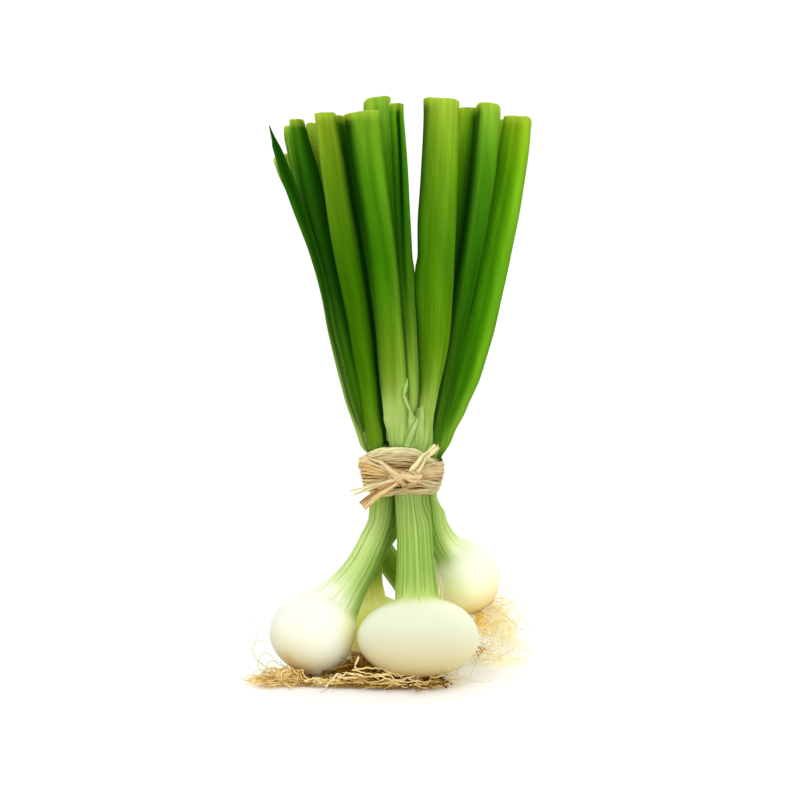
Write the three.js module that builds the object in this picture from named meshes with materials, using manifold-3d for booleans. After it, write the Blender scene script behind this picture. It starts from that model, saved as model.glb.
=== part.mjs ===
// Bunch of white spring onions: five onions (bulb and neck in one piece), their
// hollow trimmed leaves, their root mats, and a raffia tie round the necks.
// Millimetres, +Z up. The bunch stands on its root mats on the plane z = 0.
import * as THREE from 'three';
import { mergeVertices } from 'three/addons/utils/BufferGeometryUtils.js';
import Module from 'manifold-3d';

// ---------------------------------------------------------------- dimensions
const GAP = 0.4;                    // clear space kept between touching pieces
const SHIFT = [2.7, 0.4, 0];        // from the layout frame to the middle of the bunch's base
const NECK_SIDES = 16;              // facets round a bulb and neck
const LEAF_SIDES = 10;              // facets round a leaf
const LEAF_WALL = 1.1;              // thickness of a hollow leaf's wall
const LEAF_HOLLOW_FLOOR = 150;      // height at which a leaf's hollow begins
const TIE_CENTRE = [1.4, 0.5];      // middle of the gathered necks
const TIE_BOTTOM = 84;              // lower edge of the raffia
const TIE_TOP = 103.4;              // upper edge of the raffia at the sides
// inner radius of the raffia at heights through the tie
const BUNDLE = [[60, 60], [70, 27], [76, 19.2], [79, 17.3], [82, 16.4], [87, 16.7], [91, 17.3], [96, 17.5], [103.4, 18.0], [106, 19.4], [112, 25]];

// Each onion: spine of [x, y, z, neck radius, sideways stretch] from the root
// plate to the top of the neck; bulb radius and its half lengths below and above
// the widest place, along the spine; blend is the sharpness of the shoulder.
const ONIONS = {
  front_left: {
    bulb: { radius: 19.9, below: 17.4, above: 19.6, blend: 3.2 },
    spine: [[-50.1, -29.2, 5, 0, 0], [-41.6, -24, 19.2, 2, 0], [-32, -19.4, 31.4, 12, 0], [-24.3, -15.9, 41.2, 8.9, 0],
      [-17.8, -12.4, 51.2, 7.3, 0], [-12.9, -8.8, 61.5, 6.5, 0], [-9.2, -6.4, 71, 5.9, 0], [-8.4, -5.4, 79, 6.4, 0],
      [-8.4, -4.8, 88, 6.9, 0], [-9, -4.6, 97, 7.3, -0.05], [-10.8, -4.4, 104, 7.8, -0.15], [-12.6, -3.9, 108.2, 8.2, -0.25]],
  },
  front: {
    bulb: { radius: 28.4, below: 18.3, above: 18.2, blend: 4.5 },
    spine: [[8.4, -33.5, 2.4, 0, 0], [8.4, -32, 20.2, 3, 0], [8.2, -29.6, 30, 10.5, 0], [7.9, -26.8, 38, 10.1, 0],
      [7.7, -23.4, 46, 9.3, 0], [7.4, -20, 53, 8.7, 0], [6.8, -14.2, 67, 8.2, 0], [5.6, -10.3, 80, 8.1, 0],
      [5, -9.4, 88, 8.4, 0], [4.7, -9.5, 97, 8.9, 0.06], [4.7, -9.9, 104, 9.1, 0.12], [4.6, -10.2, 112, 9.2, 0.17], [4.5, -10.5, 121.2, 9.2, 0.18]],
  },
  right: {
    bulb: { radius: 16.5, below: 17.8, above: 17.5, blend: 3.6 },
    spine: [[38.7, 15.2, 24.2, 0, 0], [31.5, 12, 39.9, 2, 0], [26.2, 9.6, 50.4, 8.2, 0], [19.8, 6.8, 59.5, 7.1, 0],
      [16, 4.6, 69, 6.4, 0], [15.1, 3.4, 77, 6.6, 0], [13.2, 2.6, 87, 6.6, 0], [13.4, 2.4, 96, 6.9, -0.03],
      [15.4, 2.4, 103.5, 7.2, -0.12], [17.4, 2.3, 108.2, 7.5, -0.25]],
  },
  rear_left: {
    bulb: { radius: 19.5, below: 13.8, above: 14.5, blend: 2.6 },
    spine: [[-14.4, 12.4, 2.6, 0, 0], [-15, 13, 16, 2, 0], [-15.8, 13.5, 28, 8.6, 0], [-15.9, 13.6, 38, 7.3, 0], [-15.6, 13, 47, 7.1, 0],
      [-12.2, 11, 55, 6.6, 0], [-7.4, 9, 63, 6.4, 0], [-1.5, 8.8, 70, 6.6, 0], [3, 9.8, 77, 6.9, 0], [4.6, 11, 84, 7, 0],
      [5, 11.5, 92, 7.1, 0], [5.4, 11.5, 99, 7.3, 0.04], [6.4, 11, 105, 7.6, 0.1], [6.9, 10.8, 108.2, 7.9, 0.15]],
  },
  rear: {
    bulb: { radius: 17, below: 15.9, above: 16.5, blend: 3.6 },
    spine: [[19, 44, 2.6, 0, 0], [16, 42, 18, 2, 0], [9.4, 37.6, 26.8, 8.4, 0], [1.6, 32.6, 36.4, 7.2, 0], [-5.1, 28.2, 45, 6.1, 0],
      [-10, 24.4, 53.6, 6, 0], [-9.5, 20.2, 64, 5.8, 0], [-8.1, 15, 75, 6, 0], [-8.4, 11.3, 83, 6.8, 0],
      [-7.9, 9.4, 91, 7, 0], [-7.3, 9, 98, 7.2, 0], [-7.3, 8.8, 104, 7.5, 0.05], [-7.6, 8.4, 108.2, 7.9, 0.1]],
  },
};

// Leaves: phi turns the wide axis of the section (degrees), top is the height of
// the cut, rows are [z, x, y, half width, half thickness] up the leaf.
const LEAVES = {
  front_left: [
    { phi: 80, top: 256.5, rows: [[108, -17.5, -7.3, 2.72, 1.53], [114, -19.1, -7.7, 2.96, 1.75], [120, -21.1, -8.1, 3.20, 1.75], [127, -23.5, -8.4, 3.30, 1.65], [136, -25.8, -8.7, 3.50, 1.60], [148, -28.6, -9.0, 3.80, 1.60], [162, -31.9, -9.0, 4.20, 1.50], [178, -34.8, -8.8, 4.50, 1.65], [196, -39.4, -8.4, 4.70, 2.00], [215, -45.8, -8.0, 4.60, 2.45], [225, -49.3, -7.7, 4.50, 2.65], [235, -53.1, -7.5, 4.00, 2.50], [245, -56.5, -7.2, 3.00, 1.85], [252, -59.1, -7.0, 2.20, 1.30], [257, -60.8, -7.0, 1.60, 1.10]] },
    { phi: 15, top: 257.5, rows: [[108, -16.0, 4.0, 2.94, 2.47], [114, -17.8, 4.1, 3.16, 2.56], [120, -19.4, 4.2, 3.36, 2.64], [127, -20.9, 4.3, 3.51, 2.74], [136, -23.0, 4.5, 3.71, 2.87], [148, -26.0, 4.7, 3.97, 3.00], [162, -29.5, 5.1, 4.00, 3.10], [178, -33.3, 5.6, 3.75, 3.21], [196, -38.2, 6.1, 4.10, 3.33], [215, -43.2, 6.7, 4.00, 3.25], [235, -47.8, 7.2, 3.50, 3.16], [252, -51.4, 7.7, 3.40, 3.08]] },
    { phi: -10, top: 260.3, rows: [[108, -13.8, -1.8, 3.13, 2.47], [114, -15.4, -1.9, 3.35, 2.56], [120, -16.9, -2.0, 3.56, 2.64], [127, -18.6, -2.0, 3.76, 2.74], [136, -20.6, -1.9, 4.02, 2.86], [148, -23.4, -1.8, 4.36, 3.00], [162, -26.5, -1.7, 4.69, 3.09], [178, -30.1, -1.8, 5.01, 3.20], [196, -34.1, -2.0, 5.38, 3.42], [215, -38.5, -2.3, 5.45, 3.38], [235, -43.2, -2.6, 5.35, 3.26], [252, -46.9, -2.9, 4.07, 3.10], [262, -48.5, -3.1, 3.32, 3.06]] },
    { phi: -4, top: 262.9, rows: [[108, -11.5, -11.6, 3.78, 2.47], [114, -12.3, -11.4, 4.06, 2.55], [120, -13.4, -11.4, 4.15, 2.64], [127, -14.3, -11.5, 4.32, 2.73], [136, -15.2, -11.7, 4.62, 2.85], [148, -16.8, -12.2, 4.90, 3.01], [162, -18.6, -12.8, 5.42, 3.19], [178, -21.1, -13.6, 5.89, 3.43], [196, -24.3, -14.5, 6.25, 3.65], [215, -27.5, -15.4, 6.16, 3.58], [235, -30.5, -16.5, 5.69, 3.36], [252, -32.9, -17.3, 5.10, 3.13], [262, -34.4, -17.9, 4.69, 3.06]] },
  ],
  front: [
    { phi: 3, top: 263.1, rows: [[120, -1.6, -13.5, 5.92, 2.90], [127, -2.1, -13.9, 6.04, 3.04], [136, -2.9, -14.5, 6.28, 3.26], [148, -3.8, -15.3, 6.47, 3.55], [162, -4.9, -16.2, 6.67, 3.51], [178, -6.5, -17.3, 6.92, 3.70], [196, -8.7, -18.5, 7.27, 3.93], [215, -11.4, -19.7, 7.57, 3.96], [235, -14.2, -21.0, 7.86, 3.94], [252, -16.3, -22.1, 8.01, 3.89], [262, -17.4, -22.8, 8.01, 3.83]] },
    { phi: 35, top: 267.4, rows: [[120, 5.7, -5.5, 3.29, 2.63], [127, 6.0, -5.4, 3.40, 2.72], [136, 6.1, -5.4, 3.55, 2.84], [148, 5.6, -5.4, 3.73, 2.99], [162, 4.8, -5.3, 3.84, 3.07], [178, 3.3, -5.3, 3.62, 3.18], [196, 2.2, -5.2, 3.76, 3.29], [215, 1.2, -5.2, 3.75, 3.28], [235, 0.1, -5.1, 3.64, 3.19], [252, -0.9, -5.0, 3.55, 3.12], [262, -1.7, -5.0, 3.50, 3.08]] },
    { phi: -3, top: 269.3, rows: [[120, 12.0, -12.6, 3.52, 2.90], [127, 13.0, -13.1, 3.86, 3.04], [136, 14.1, -13.7, 4.53, 3.26], [148, 15.1, -14.6, 6.18, 3.55], [162, 15.8, -15.6, 7.43, 3.69], [178, 16.3, -16.8, 8.22, 4.02], [196, 16.8, -18.0, 8.75, 4.31], [215, 17.2, -19.4, 8.92, 4.35], [235, 18.1, -20.8, 8.60, 4.24], [252, 18.7, -22.1, 8.38, 4.09], [262, 18.9, -22.8, 7.97, 3.93]] },
  ],
  right: [
    { phi: 6, top: 267.5, rows: [[108, 16.4, -3.5, 2.86, 2.47], [114, 17.7, -3.7, 2.97, 2.55], [120, 19.0, -3.8, 3.08, 2.63], [127, 20.3, -4.0, 3.23, 2.72], [136, 21.9, -4.2, 3.42, 2.84], [148, 24.1, -4.5, 3.67, 2.99], [162, 26.8, -4.8, 4.06, 3.07], [178, 29.9, -5.3, 4.56, 3.17], [196, 33.3, -5.8, 5.10, 3.32], [215, 36.5, -6.4, 5.45, 3.40], [235, 39.0, -7.0, 5.72, 3.39], [252, 40.4, -7.6, 5.86, 3.35], [262, 41.1, -7.9, 5.73, 3.27]] },
    { phi: 14, top: 261.8, rows: [[108, 20.2, 2.0, 4.30, 2.47], [114, 22.2, 2.1, 4.90, 2.55], [120, 24.6, 2.2, 5.90, 2.80], [127, 27.1, 2.2, 6.40, 2.99], [136, 30.3, 2.1, 7.30, 3.21], [148, 33.7, 2.1, 7.80, 3.48], [162, 37.6, 2.1, 7.90, 3.66], [178, 41.4, 2.0, 7.60, 3.82], [196, 44.9, 2.0, 7.60, 3.97], [215, 48.3, 2.0, 7.80, 3.94], [235, 51.9, 2.0, 7.60, 3.80], [252, 54.2, 2.0, 7.20, 3.63], [262, 55.3, 2.0, 6.70, 3.48]] },
    { phi: 38, top: 261.1, rows: [[108, 18.4, 7.7, 2.96, 2.47], [114, 20.1, 8.3, 3.19, 2.55], [120, 21.7, 8.8, 3.40, 2.64], [127, 23.5, 9.6, 3.60, 2.73], [136, 25.7, 10.5, 3.87, 2.86], [148, 28.5, 11.8, 4.22, 3.00], [162, 31.6, 13.4, 4.65, 3.09], [178, 35.1, 15.2, 5.15, 3.23], [196, 38.8, 17.2, 5.72, 3.51], [215, 42.5, 19.4, 5.81, 3.48], [235, 46.3, 21.6, 5.67, 3.35], [252, 49.4, 23.5, 5.46, 3.22], [262, 51.2, 24.7, 5.35, 3.15]] },
  ],
  rear_left: [
    { phi: 6, top: 271.0, rows: [[108, 1.9, 9.0, 2.74, 2.47], [114, 1.6, 9.1, 2.96, 2.55], [120, 1.3, 9.1, 3.17, 2.63], [127, 0.8, 9.1, 3.42, 2.72], [136, 0.2, 9.2, 3.74, 2.83], [148, -0.7, 9.3, 4.17, 2.98], [162, -1.8, 9.4, 4.57, 3.07], [178, -3.0, 9.5, 4.98, 3.17], [196, -4.5, 9.6, 5.44, 3.40], [215, -6.6, 9.7, 5.84, 3.52], [235, -8.5, 9.8, 6.25, 3.47], [252, -10.0, 9.9, 6.24, 3.40], [262, -10.9, 10.0, 6.18, 3.34]] },
    { phi: -8, top: 266.2, rows: [[108, 11.8, 8.1, 2.73, 2.47], [114, 12.8, 8.2, 2.95, 2.55], [120, 13.9, 8.4, 3.16, 2.63], [127, 15.1, 8.6, 3.36, 2.72], [136, 16.8, 8.8, 3.62, 2.85], [148, 18.9, 9.1, 3.96, 2.99], [162, 21.3, 9.4, 4.28, 3.08], [178, 23.8, 9.8, 4.61, 3.18], [196, 26.3, 10.3, 4.98, 3.29], [215, 28.6, 10.8, 5.37, 3.38], [235, 30.7, 11.2, 5.52, 3.33], [252, 32.2, 11.7, 5.39, 3.22], [262, 33.0, 11.9, 5.15, 3.12]] },
    { phi: 20, top: 264.2, rows: [[108, 7.8, 14.4, 2.77, 2.47], [114, 8.8, 15.1, 3.00, 2.55], [120, 9.8, 15.8, 3.22, 2.63], [127, 10.9, 16.6, 3.48, 2.73], [136, 12.1, 17.7, 3.81, 2.85], [148, 13.6, 19.1, 4.24, 2.99], [162, 15.1, 20.8, 4.76, 3.08], [178, 16.5, 22.7, 5.34, 3.28], [196, 17.9, 24.8, 6.00, 3.58], [215, 19.1, 27.1, 6.44, 3.66], [235, 20.2, 29.4, 6.60, 3.61], [252, 21.1, 31.5, 6.62, 3.53], [262, 21.6, 32.6, 6.62, 3.48]] },
  ],
  rear: [
    { phi: 28, top: 243.6, rows: [[108, -12.4, 10.5, 2.93, 2.48], [114, -14.6, 10.5, 3.04, 2.57], [120, -16.9, 10.6, 3.16, 2.66], [127, -19.6, 10.8, 3.31, 2.77], [136, -23.0, 11.2, 3.50, 2.91], [148, -27.4, 11.8, 3.10, 2.80], [162, -31.2, 12.6, 2.80, 2.70], [178, -35.0, 13.5, 2.75, 2.60], [196, -40.3, 14.6, 2.80, 2.60], [215, -46.8, 15.8, 3.00, 2.70], [227, -51.2, 16.6, 3.50, 2.80], [235, -54.6, 17.1, 3.90, 2.80], [245, -57.3, 17.1, 3.60, 2.60]] },
    { phi: 12, top: 258.9, rows: [[108, -8.2, 6.4, 3.15, 2.47], [114, -9.8, 6.7, 3.26, 2.56], [120, -11.5, 7.1, 3.38, 2.64], [127, -13.4, 7.6, 3.53, 2.74], [136, -15.7, 8.2, 3.72, 2.87], [148, -18.7, 8.9, 3.98, 3.00], [162, -22.0, 9.5, 4.23, 3.09], [178, -25.6, 10.2, 4.48, 3.20], [196, -29.3, 10.9, 4.76, 3.32], [215, -33.1, 11.7, 4.71, 3.25], [235, -37.0, 12.5, 4.61, 3.16], [252, -40.4, 13.2, 4.28, 3.09]] },
    { phi: -8, top: 261.8, rows: [[108, -5.3, 1.4, 2.66, 2.47], [114, -6.3, 1.9, 2.77, 2.55], [120, -7.2, 2.2, 2.88, 2.64], [127, -8.2, 2.4, 3.03, 2.73], [136, -9.6, 2.5, 3.22, 2.86], [148, -11.3, 2.4, 3.47, 2.99], [162, -13.2, 2.3, 3.72, 3.09], [178, -15.5, 2.1, 3.96, 3.19], [196, -18.0, 1.9, 4.24, 3.31], [215, -20.6, 1.7, 4.28, 3.26], [235, -23.3, 1.4, 4.23, 3.18], [252, -25.5, 1.2, 3.96, 3.10], [262, -26.9, 1.0, 3.80, 3.06]] },
    { phi: -35, top: 261.2, rows: [[108, -3.5, 12.3, 3.00, 2.47], [114, -4.0, 13.0, 3.23, 2.55], [120, -4.5, 13.7, 3.45, 2.64], [127, -5.2, 14.5, 3.70, 2.73], [136, -6.2, 15.5, 4.03, 2.86], [148, -7.6, 16.8, 4.47, 3.00], [162, -9.3, 18.4, 4.93, 3.09], [178, -11.3, 20.2, 5.43, 3.31], [196, -13.6, 22.2, 6.00, 3.59], [215, -16.0, 24.4, 6.42, 3.65], [235, -18.6, 26.6, 6.51, 3.57], [252, -20.9, 28.5, 6.41, 3.46], [262, -22.2, 29.7, 6.36, 3.41]] },
  ],};
// Slant of each cut top, as rise over sideways run, and leaves that end in a point.
const CUT_SLANT = { front_1: 0.12, front_2: -0.1, front_3: -0.05, right_1: -0.13, rear_1: 0.38, right_2: -0.06, rear_left_1: 0.15, rear_3: -0.2, front_left_4: 0.06 };
const POINTED = new Set(['front_left_1']);

// Root mats: centre, outline radii every 30 degrees from +X, height profile.
const ROOTS = {
  front_left: { centre: [-46, -33], radii: [22, 20, 17, 15, 15, 17, 21.5, 24, 22, 19.5, 20, 22], height: 5.6, edge: 1.6 },
  front: { centre: [7, -37], radii: [24, 21, 18, 16, 17, 21, 25, 24, 21, 18, 20, 23], height: 6, edge: 1.6 },
  rear_left: { centre: [-14.5, 13], radii: [13, 14, 15, 15, 14, 14, 15, 14, 11, 9.5, 10, 12], height: 5, edge: 1.6 },
  rear: { centre: [18, 43], radii: [15, 15, 15, 15, 14, 13, 12, 12, 12, 13, 14, 15], height: 5, edge: 1.6 },
};
// The right-hand onion hangs clear of the ground on a taller tuft: [z, x, y, radius].
const RIGHT_TUFT = [[0, 47, 8, 15], [2.2, 47, 8, 14.6], [7, 47, 8.5, 12], [14, 46.5, 9.5, 11], [22, 46.5, 11, 10.4], [28, 47, 12.5, 7.6], [31.5, 47.5, 13, 3.4]];

// Raffia: each turn is [lower edge, upper edge, thickness, lift at the front].
const TURNS = {
  raffia_turn_lower: { low: 84.2, high: 89.4, thick: 1.9, lift: 0.4 },
  raffia_turn_middle: { low: 89.9, high: 96.3, thick: 2.3, lift: 0.2 },
  raffia_turn_upper: { low: 96.8, high: 103.2, thick: 1.9, lift: 3.2 },
};
const KNOT = { centre: [2.4, -21.9, 92.2], size: [6.6, 2.3, 5.2] };
const TAILS = {
  raffia_tail_right: { width: 4.6, thick: 1.1, path: [[7.4, -22.5, 98.4], [9.8, -22.5, 101.4], [12.8, -22, 104.8], [17, -20.8, 108.8]] },
  raffia_tail_left_upper: { width: 3, thick: 0.9, path: [[-5.4, -22.4, 91.6], [-11, -22.2, 89.9], [-17, -21, 88.2], [-22.4, -19.8, 86.4]] },
  raffia_tail_left_lower: { width: 4.6, thick: 1.2, path: [[-4.7, -24.1, 89], [-9.2, -23.9, 86.6], [-14, -22.9, 83.2], [-17.4, -22, 80.2]] },
};

const COLOURS = {
  bulb: 0xeef0dc, leaf: 0x3c7a1e, root: 0xd3b277, raffia: 0xd2b48a,
};

// ---------------------------------------------------------------- helpers
// Smooth interpolation of rows whose first column is the parameter.
function track(rows, t) {
  const n = rows.length;
  let k = 0;
  while (k < n - 2 && t > rows[k + 1][0]) k++;
  const a = rows[k], b = rows[k + 1], h = b[0] - a[0];
  const u = Math.min(1.0, Math.max(0.0, (t - a[0]) / h));
  const out = [];
  for (let c = 1; c < a.length; c++) {
    const slope = (i) => {
      if (i === 0) return (rows[1][c] - rows[0][c]) / (rows[1][0] - rows[0][0]);
      if (i === n - 1) return (rows[n - 1][c] - rows[n - 2][c]) / (rows[n - 1][0] - rows[n - 2][0]);
      const h0 = rows[i][0] - rows[i - 1][0], h1 = rows[i + 1][0] - rows[i][0];
      const d0 = (rows[i][c] - rows[i - 1][c]) / h0, d1 = (rows[i + 1][c] - rows[i][c]) / h1;
      return (d0 * h1 + d1 * h0) / (h0 + h1);
    };
    const m0 = slope(k) * h, m1 = slope(k + 1) * h, u2 = u * u, u3 = u2 * u;
    out.push((2 * u3 - 3 * u2 + 1) * a[c] + (u3 - 2 * u2 + u) * m0 + (3 * u2 - 2 * u3) * b[c] + (u3 - u2) * m1);
  }
  return out;
}

// Merge a warped lathe or extrusion into one closed body with outward faces.
function closedBody(geometry) {
  geometry.deleteAttribute('normal');
  geometry.deleteAttribute('uv');
  const merged = mergeVertices(geometry, 1e-4);
  const index = merged.index.array, p = merged.attributes.position, kept = [];
  const key = (i) => `${p.getX(i).toFixed(4)},${p.getY(i).toFixed(4)},${p.getZ(i).toFixed(4)}`;
  let volume = 0;
  const a = new THREE.Vector3(), b = new THREE.Vector3(), c = new THREE.Vector3();
  for (let i = 0; i < index.length; i += 3) {
    const [i0, i1, i2] = [index[i], index[i + 1], index[i + 2]];
    if (i0 === i1 || i1 === i2 || i0 === i2) continue;
    if (key(i0) === key(i1) || key(i1) === key(i2) || key(i0) === key(i2)) continue;
    kept.push(i0, i1, i2);
    a.fromBufferAttribute(p, i0); b.fromBufferAttribute(p, i1); c.fromBufferAttribute(p, i2);
    volume += a.dot(b.cross(c)) / 6;
  }
  if (volume < 0) for (let i = 0; i < kept.length; i += 3) [kept[i + 1], kept[i + 2]] = [kept[i + 2], kept[i + 1]];
  merged.setIndex(kept);
  merged.computeVertexNormals();
  return merged;
}

// A lathe whose profile is a list of {r, ...station}; place(station, angle, r)
// gives each vertex its final position.
function warpedLathe(stations, sides, place) {
  const g = new THREE.LatheGeometry(stations.map((s, i) => new THREE.Vector2(s.r, i)), sides);
  const p = g.attributes.position;
  for (let i = 0; i < p.count; i++) {
    const s = stations[Math.round(p.getY(i))];
    const angle = Math.floor(i / stations.length) % sides * 2 * Math.PI / sides;
    const v = place(s, angle);
    p.setXYZ(i, v[0], v[1], v[2]);
  }
  return closedBody(g);
}

// ---------------------------------------------------------------- onions
// The upper turn of raffia rides higher at the front, and the bundle stays gathered up to it.
function frontLift(cx, cy, z) {
  return z < 96.8 ? 0 : TURNS.raffia_turn_upper.lift * 1.1 * Math.max(0, -cy) ** 2 * Math.min(1, (z - 96.8) / 6.4);
}
for (const o of Object.values(ONIONS)) {
  let s = 0;
  o.path = o.spine.map((row, i) => {
    if (i) s += Math.hypot(row[0] - o.spine[i - 1][0], row[1] - o.spine[i - 1][1], row[2] - o.spine[i - 1][2]);
    return [s, ...row];
  });
  o.length = s;
  o.middle = o.path[1][0];
  o.site = o.spine.filter((row) => row[2] > 36).map(([x, y, z, r]) => [z, x, y, r]);
}

function onionFrame(o, s) {
  const at = track(o.path, s), d = 0.4;
  const lo = track(o.path, Math.max(0, s - d)), hi = track(o.path, Math.min(o.length, s + d));
  const T = new THREE.Vector3(hi[0] - lo[0], hi[1] - lo[1], hi[2] - lo[2]).normalize();
  const level = Math.min(1, Math.max(0, (at[2] - 84) / 14));      // sections turn level in the tie
  T.multiplyScalar(1 - level).add(new THREE.Vector3(0, 0, level)).normalize();
  const U = new THREE.Vector3(1, 0, 0).addScaledVector(T, -T.x).normalize();
  const W = new THREE.Vector3().crossVectors(T, U);
  return { at, T, U, W };
}

// Radius of bulb and neck along the spine: an ellipse below, flowing into the neck.
function onionRadius(o, s) {
  const { radius, below, above, blend } = o.bulb, e = s < o.middle ? (o.middle - s) / below : (s - o.middle) / above;
  const bulb = e < 1 ? radius * Math.sqrt(1 - e * e) : 0;
  const neck = s < o.middle ? 0 : track(o.path, s)[3];
  return Math.pow(Math.pow(bulb, blend) + Math.pow(neck, blend), 1 / blend);
}

// Largest reach from the spine before a neighbour's share of the bundle begins.
function reach(name, frame, angle, most) {
  const o = ONIONS[name], dir = new THREE.Vector3().addScaledVector(frame.U, Math.cos(angle)).addScaledVector(frame.W, Math.sin(angle));
  const blocked = (r) => {
    const x = frame.at[0] + dir.x * r, y = frame.at[1] + dir.y * r, z = frame.at[2] + dir.z * r;
    const fx = x - TIE_CENTRE[0], fy = y - TIE_CENTRE[1], off = Math.hypot(fx, fy);
    if (z > BUNDLE[0][0] && z < 112 && off > track(BUNDLE, z - frontLift(fx / off, fy / off, z))[0] - GAP) return true;
    if (z < o.site[0][0]) return false;
    const [cx, cy, cr] = track(o.site, z);
    const own = (x - cx) ** 2 + (y - cy) ** 2 - cr * cr;
    for (const [other, q] of Object.entries(ONIONS)) {
      if (other === name || z < q.site[0][0] || z > q.site[q.site.length - 1][0] + 1) continue;
      const [qx, qy, qr] = track(q.site, z), apart = Math.hypot(cx - qx, cy - qy);
      if (own + GAP * apart > (x - qx) ** 2 + (y - qy) ** 2 - qr * qr) return true;
    }
    return false;
  };
  if (!blocked(most)) return most;
  let lo = 0, hi = most;
  for (let i = 0; i < 18; i++) { const mid = (lo + hi) / 2; if (blocked(mid)) hi = mid; else lo = mid; }
  return lo;
}

function onionPoint(name, s, angle, shrink = 1, grow = 0) {
  const o = ONIONS[name], frame = onionFrame(o, s), full = onionRadius(o, s) * shrink;
  const stretch = frame.at[4];
  const c = Math.cos(angle) * (1 + stretch), w = Math.sin(angle) * (1 - stretch);
  let r = full * Math.hypot(c, w) + grow;
  const turned = Math.atan2(w, c);
  if (frame.at[2] > 36 && shrink > 0 && !grow) {
    const limit = reach(name, frame, turned, r * 1.7);
    r = Math.pow(Math.pow(r, -9) + Math.pow(limit, -9), -1 / 9);
  }
  const v = new THREE.Vector3(...frame.at.slice(0, 3)).addScaledVector(frame.U, Math.cos(turned) * r).addScaledVector(frame.W, Math.sin(turned) * r);
  return [v.x, v.y, v.z];
}

function onionStations(o) {
  const list = [0];
  for (const f of [0.9, 0.72, 0.46, 0.2]) list.push(o.middle * (1 - f));
  list.push(o.middle);
  for (const f of [0.3, 0.55, 0.76, 0.92, 1.08]) list.push(o.middle + o.bulb.above * f);
  let s = o.middle + o.bulb.above * 1.08;
  const rest = o.length - s, steps = Math.round(rest / 5.6);
  for (let i = 1; i <= steps; i++) list.push(s + rest * i / steps);
  return list;
}

function onionGeometry(name, grow = 0) {
  const o = ONIONS[name], stations = onionStations(o).map((s) => ({ r: 1, s }));
  const first = { r: 0, s: 0 }, last = { r: 0, s: o.length };
  return warpedLathe([first, ...stations, last], NECK_SIDES, (st, angle) => onionPoint(name, Math.max(0, Math.min(o.length, st.s)), angle, st.r, st.r ? grow : 0));
}

// ---------------------------------------------------------------- leaves
function leafGeometry(name, leaf, pointed) {
  const base = leaf.rows[0][0] < 115 ? 108.7 : 121.7;
  const slant = CUT_SLANT[name] || 0, phi = leaf.phi * Math.PI / 180;
  const levels = leaf.rows.map((row) => row[0]).filter((z) => z > base + 3 && z < leaf.top - 4);
  const outer = [base, ...levels, leaf.top].map((z, i) => ({ r: 1, z, inner: false, skip: false }));
  const place = (st, angle) => {
    const z = Math.min(st.z, leaf.top);
    const [x, y, a, b] = track(leaf.rows, z);
    const wall = st.inner ? LEAF_WALL : 0;
    const u = st.r ? (a - wall) * Math.cos(angle) : 0, w = st.r ? (b - Math.min(wall, b * 0.45)) * Math.sin(angle) : 0;
    const dx = u * Math.cos(phi) - w * Math.sin(phi), dy = u * Math.sin(phi) + w * Math.cos(phi);
    const lift = st.z >= leaf.top ? slant * dx : 0;
    return [x + dx, y + dy, z + lift];
  };
  const stations = [{ r: 0, z: base }, ...outer];
  if (pointed) {
    stations[stations.length - 1].r = 0;
  } else {
    const down = [leaf.top, leaf.top - 16, ...levels.filter((z) => z > LEAF_HOLLOW_FLOOR + 6 && z < leaf.top - 24).reverse().filter((z, i) => i % 2 === 0), LEAF_HOLLOW_FLOOR];
    for (const z of down) stations.push({ r: 1, z, inner: true });
    stations.push({ r: 0, z: LEAF_HOLLOW_FLOOR, inner: true });
  }
  return warpedLathe(stations, LEAF_SIDES, place);
}

// ---------------------------------------------------------------- roots
const wasm = await Module();
wasm.setup();
function toManifold(geometry) {
  const p = geometry.attributes.position;
  return new wasm.Manifold(new wasm.Mesh({ numProp: 3, vertProperties: new Float32Array(p.array), triVerts: new Uint32Array(geometry.index.array) }));
}
function fromManifold(solid) {
  const m = solid.getMesh(), g = new THREE.BufferGeometry();
  g.setAttribute('position', new THREE.BufferAttribute(new Float32Array(m.vertProperties), 3));
  g.setIndex(Array.from(m.triVerts));
  g.computeVertexNormals();
  return g;
}

function rootMatGeometry(mat) {
  const { centre, radii, height, edge } = mat;
  const stations = [{ r: 0, f: 0, z: 0 }, { r: 1, f: 1, z: 0 }, { r: 1, f: 1.0, z: edge * 0.7 }, { r: 1, f: 0.86, z: height * 0.62 }, { r: 1, f: 0.62, z: height }, { r: 0, f: 0, z: height }];
  return warpedLathe(stations, 24, (st, angle) => {
    const t = angle / (Math.PI / 6), i = Math.floor(t) % 12, u = t - Math.floor(t);
    const radius = radii[i] * (1 - u) + radii[(i + 1) % 12] * u;
    return [centre[0] + Math.cos(angle) * radius * st.f * (st.r ? 1 : 0), centre[1] + Math.sin(angle) * radius * st.f * (st.r ? 1 : 0), st.z];
  });
}
function rightTuftGeometry() {
  const stations = [{ r: 0, z: 0 }, ...RIGHT_TUFT.map((row) => ({ r: 1, z: row[0] })), { r: 0, z: RIGHT_TUFT[RIGHT_TUFT.length - 1][0] }];
  return warpedLathe(stations, 14, (st, angle) => {
    const [x, y, r] = track(RIGHT_TUFT, st.z), lobed = r * (1 + 0.06 * Math.sin(3 * angle + 0.4)) * (st.r ? 1 : 0);
    return [x + Math.cos(angle) * lobed, y + Math.sin(angle) * lobed, st.z];
  });
}
function cutBy(geometry, names) {
  let solid = toManifold(geometry);
  for (const name of names) solid = solid.subtract(toManifold(onionGeometry(name, GAP)));
  return closedBody(fromManifold(solid));
}

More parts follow.
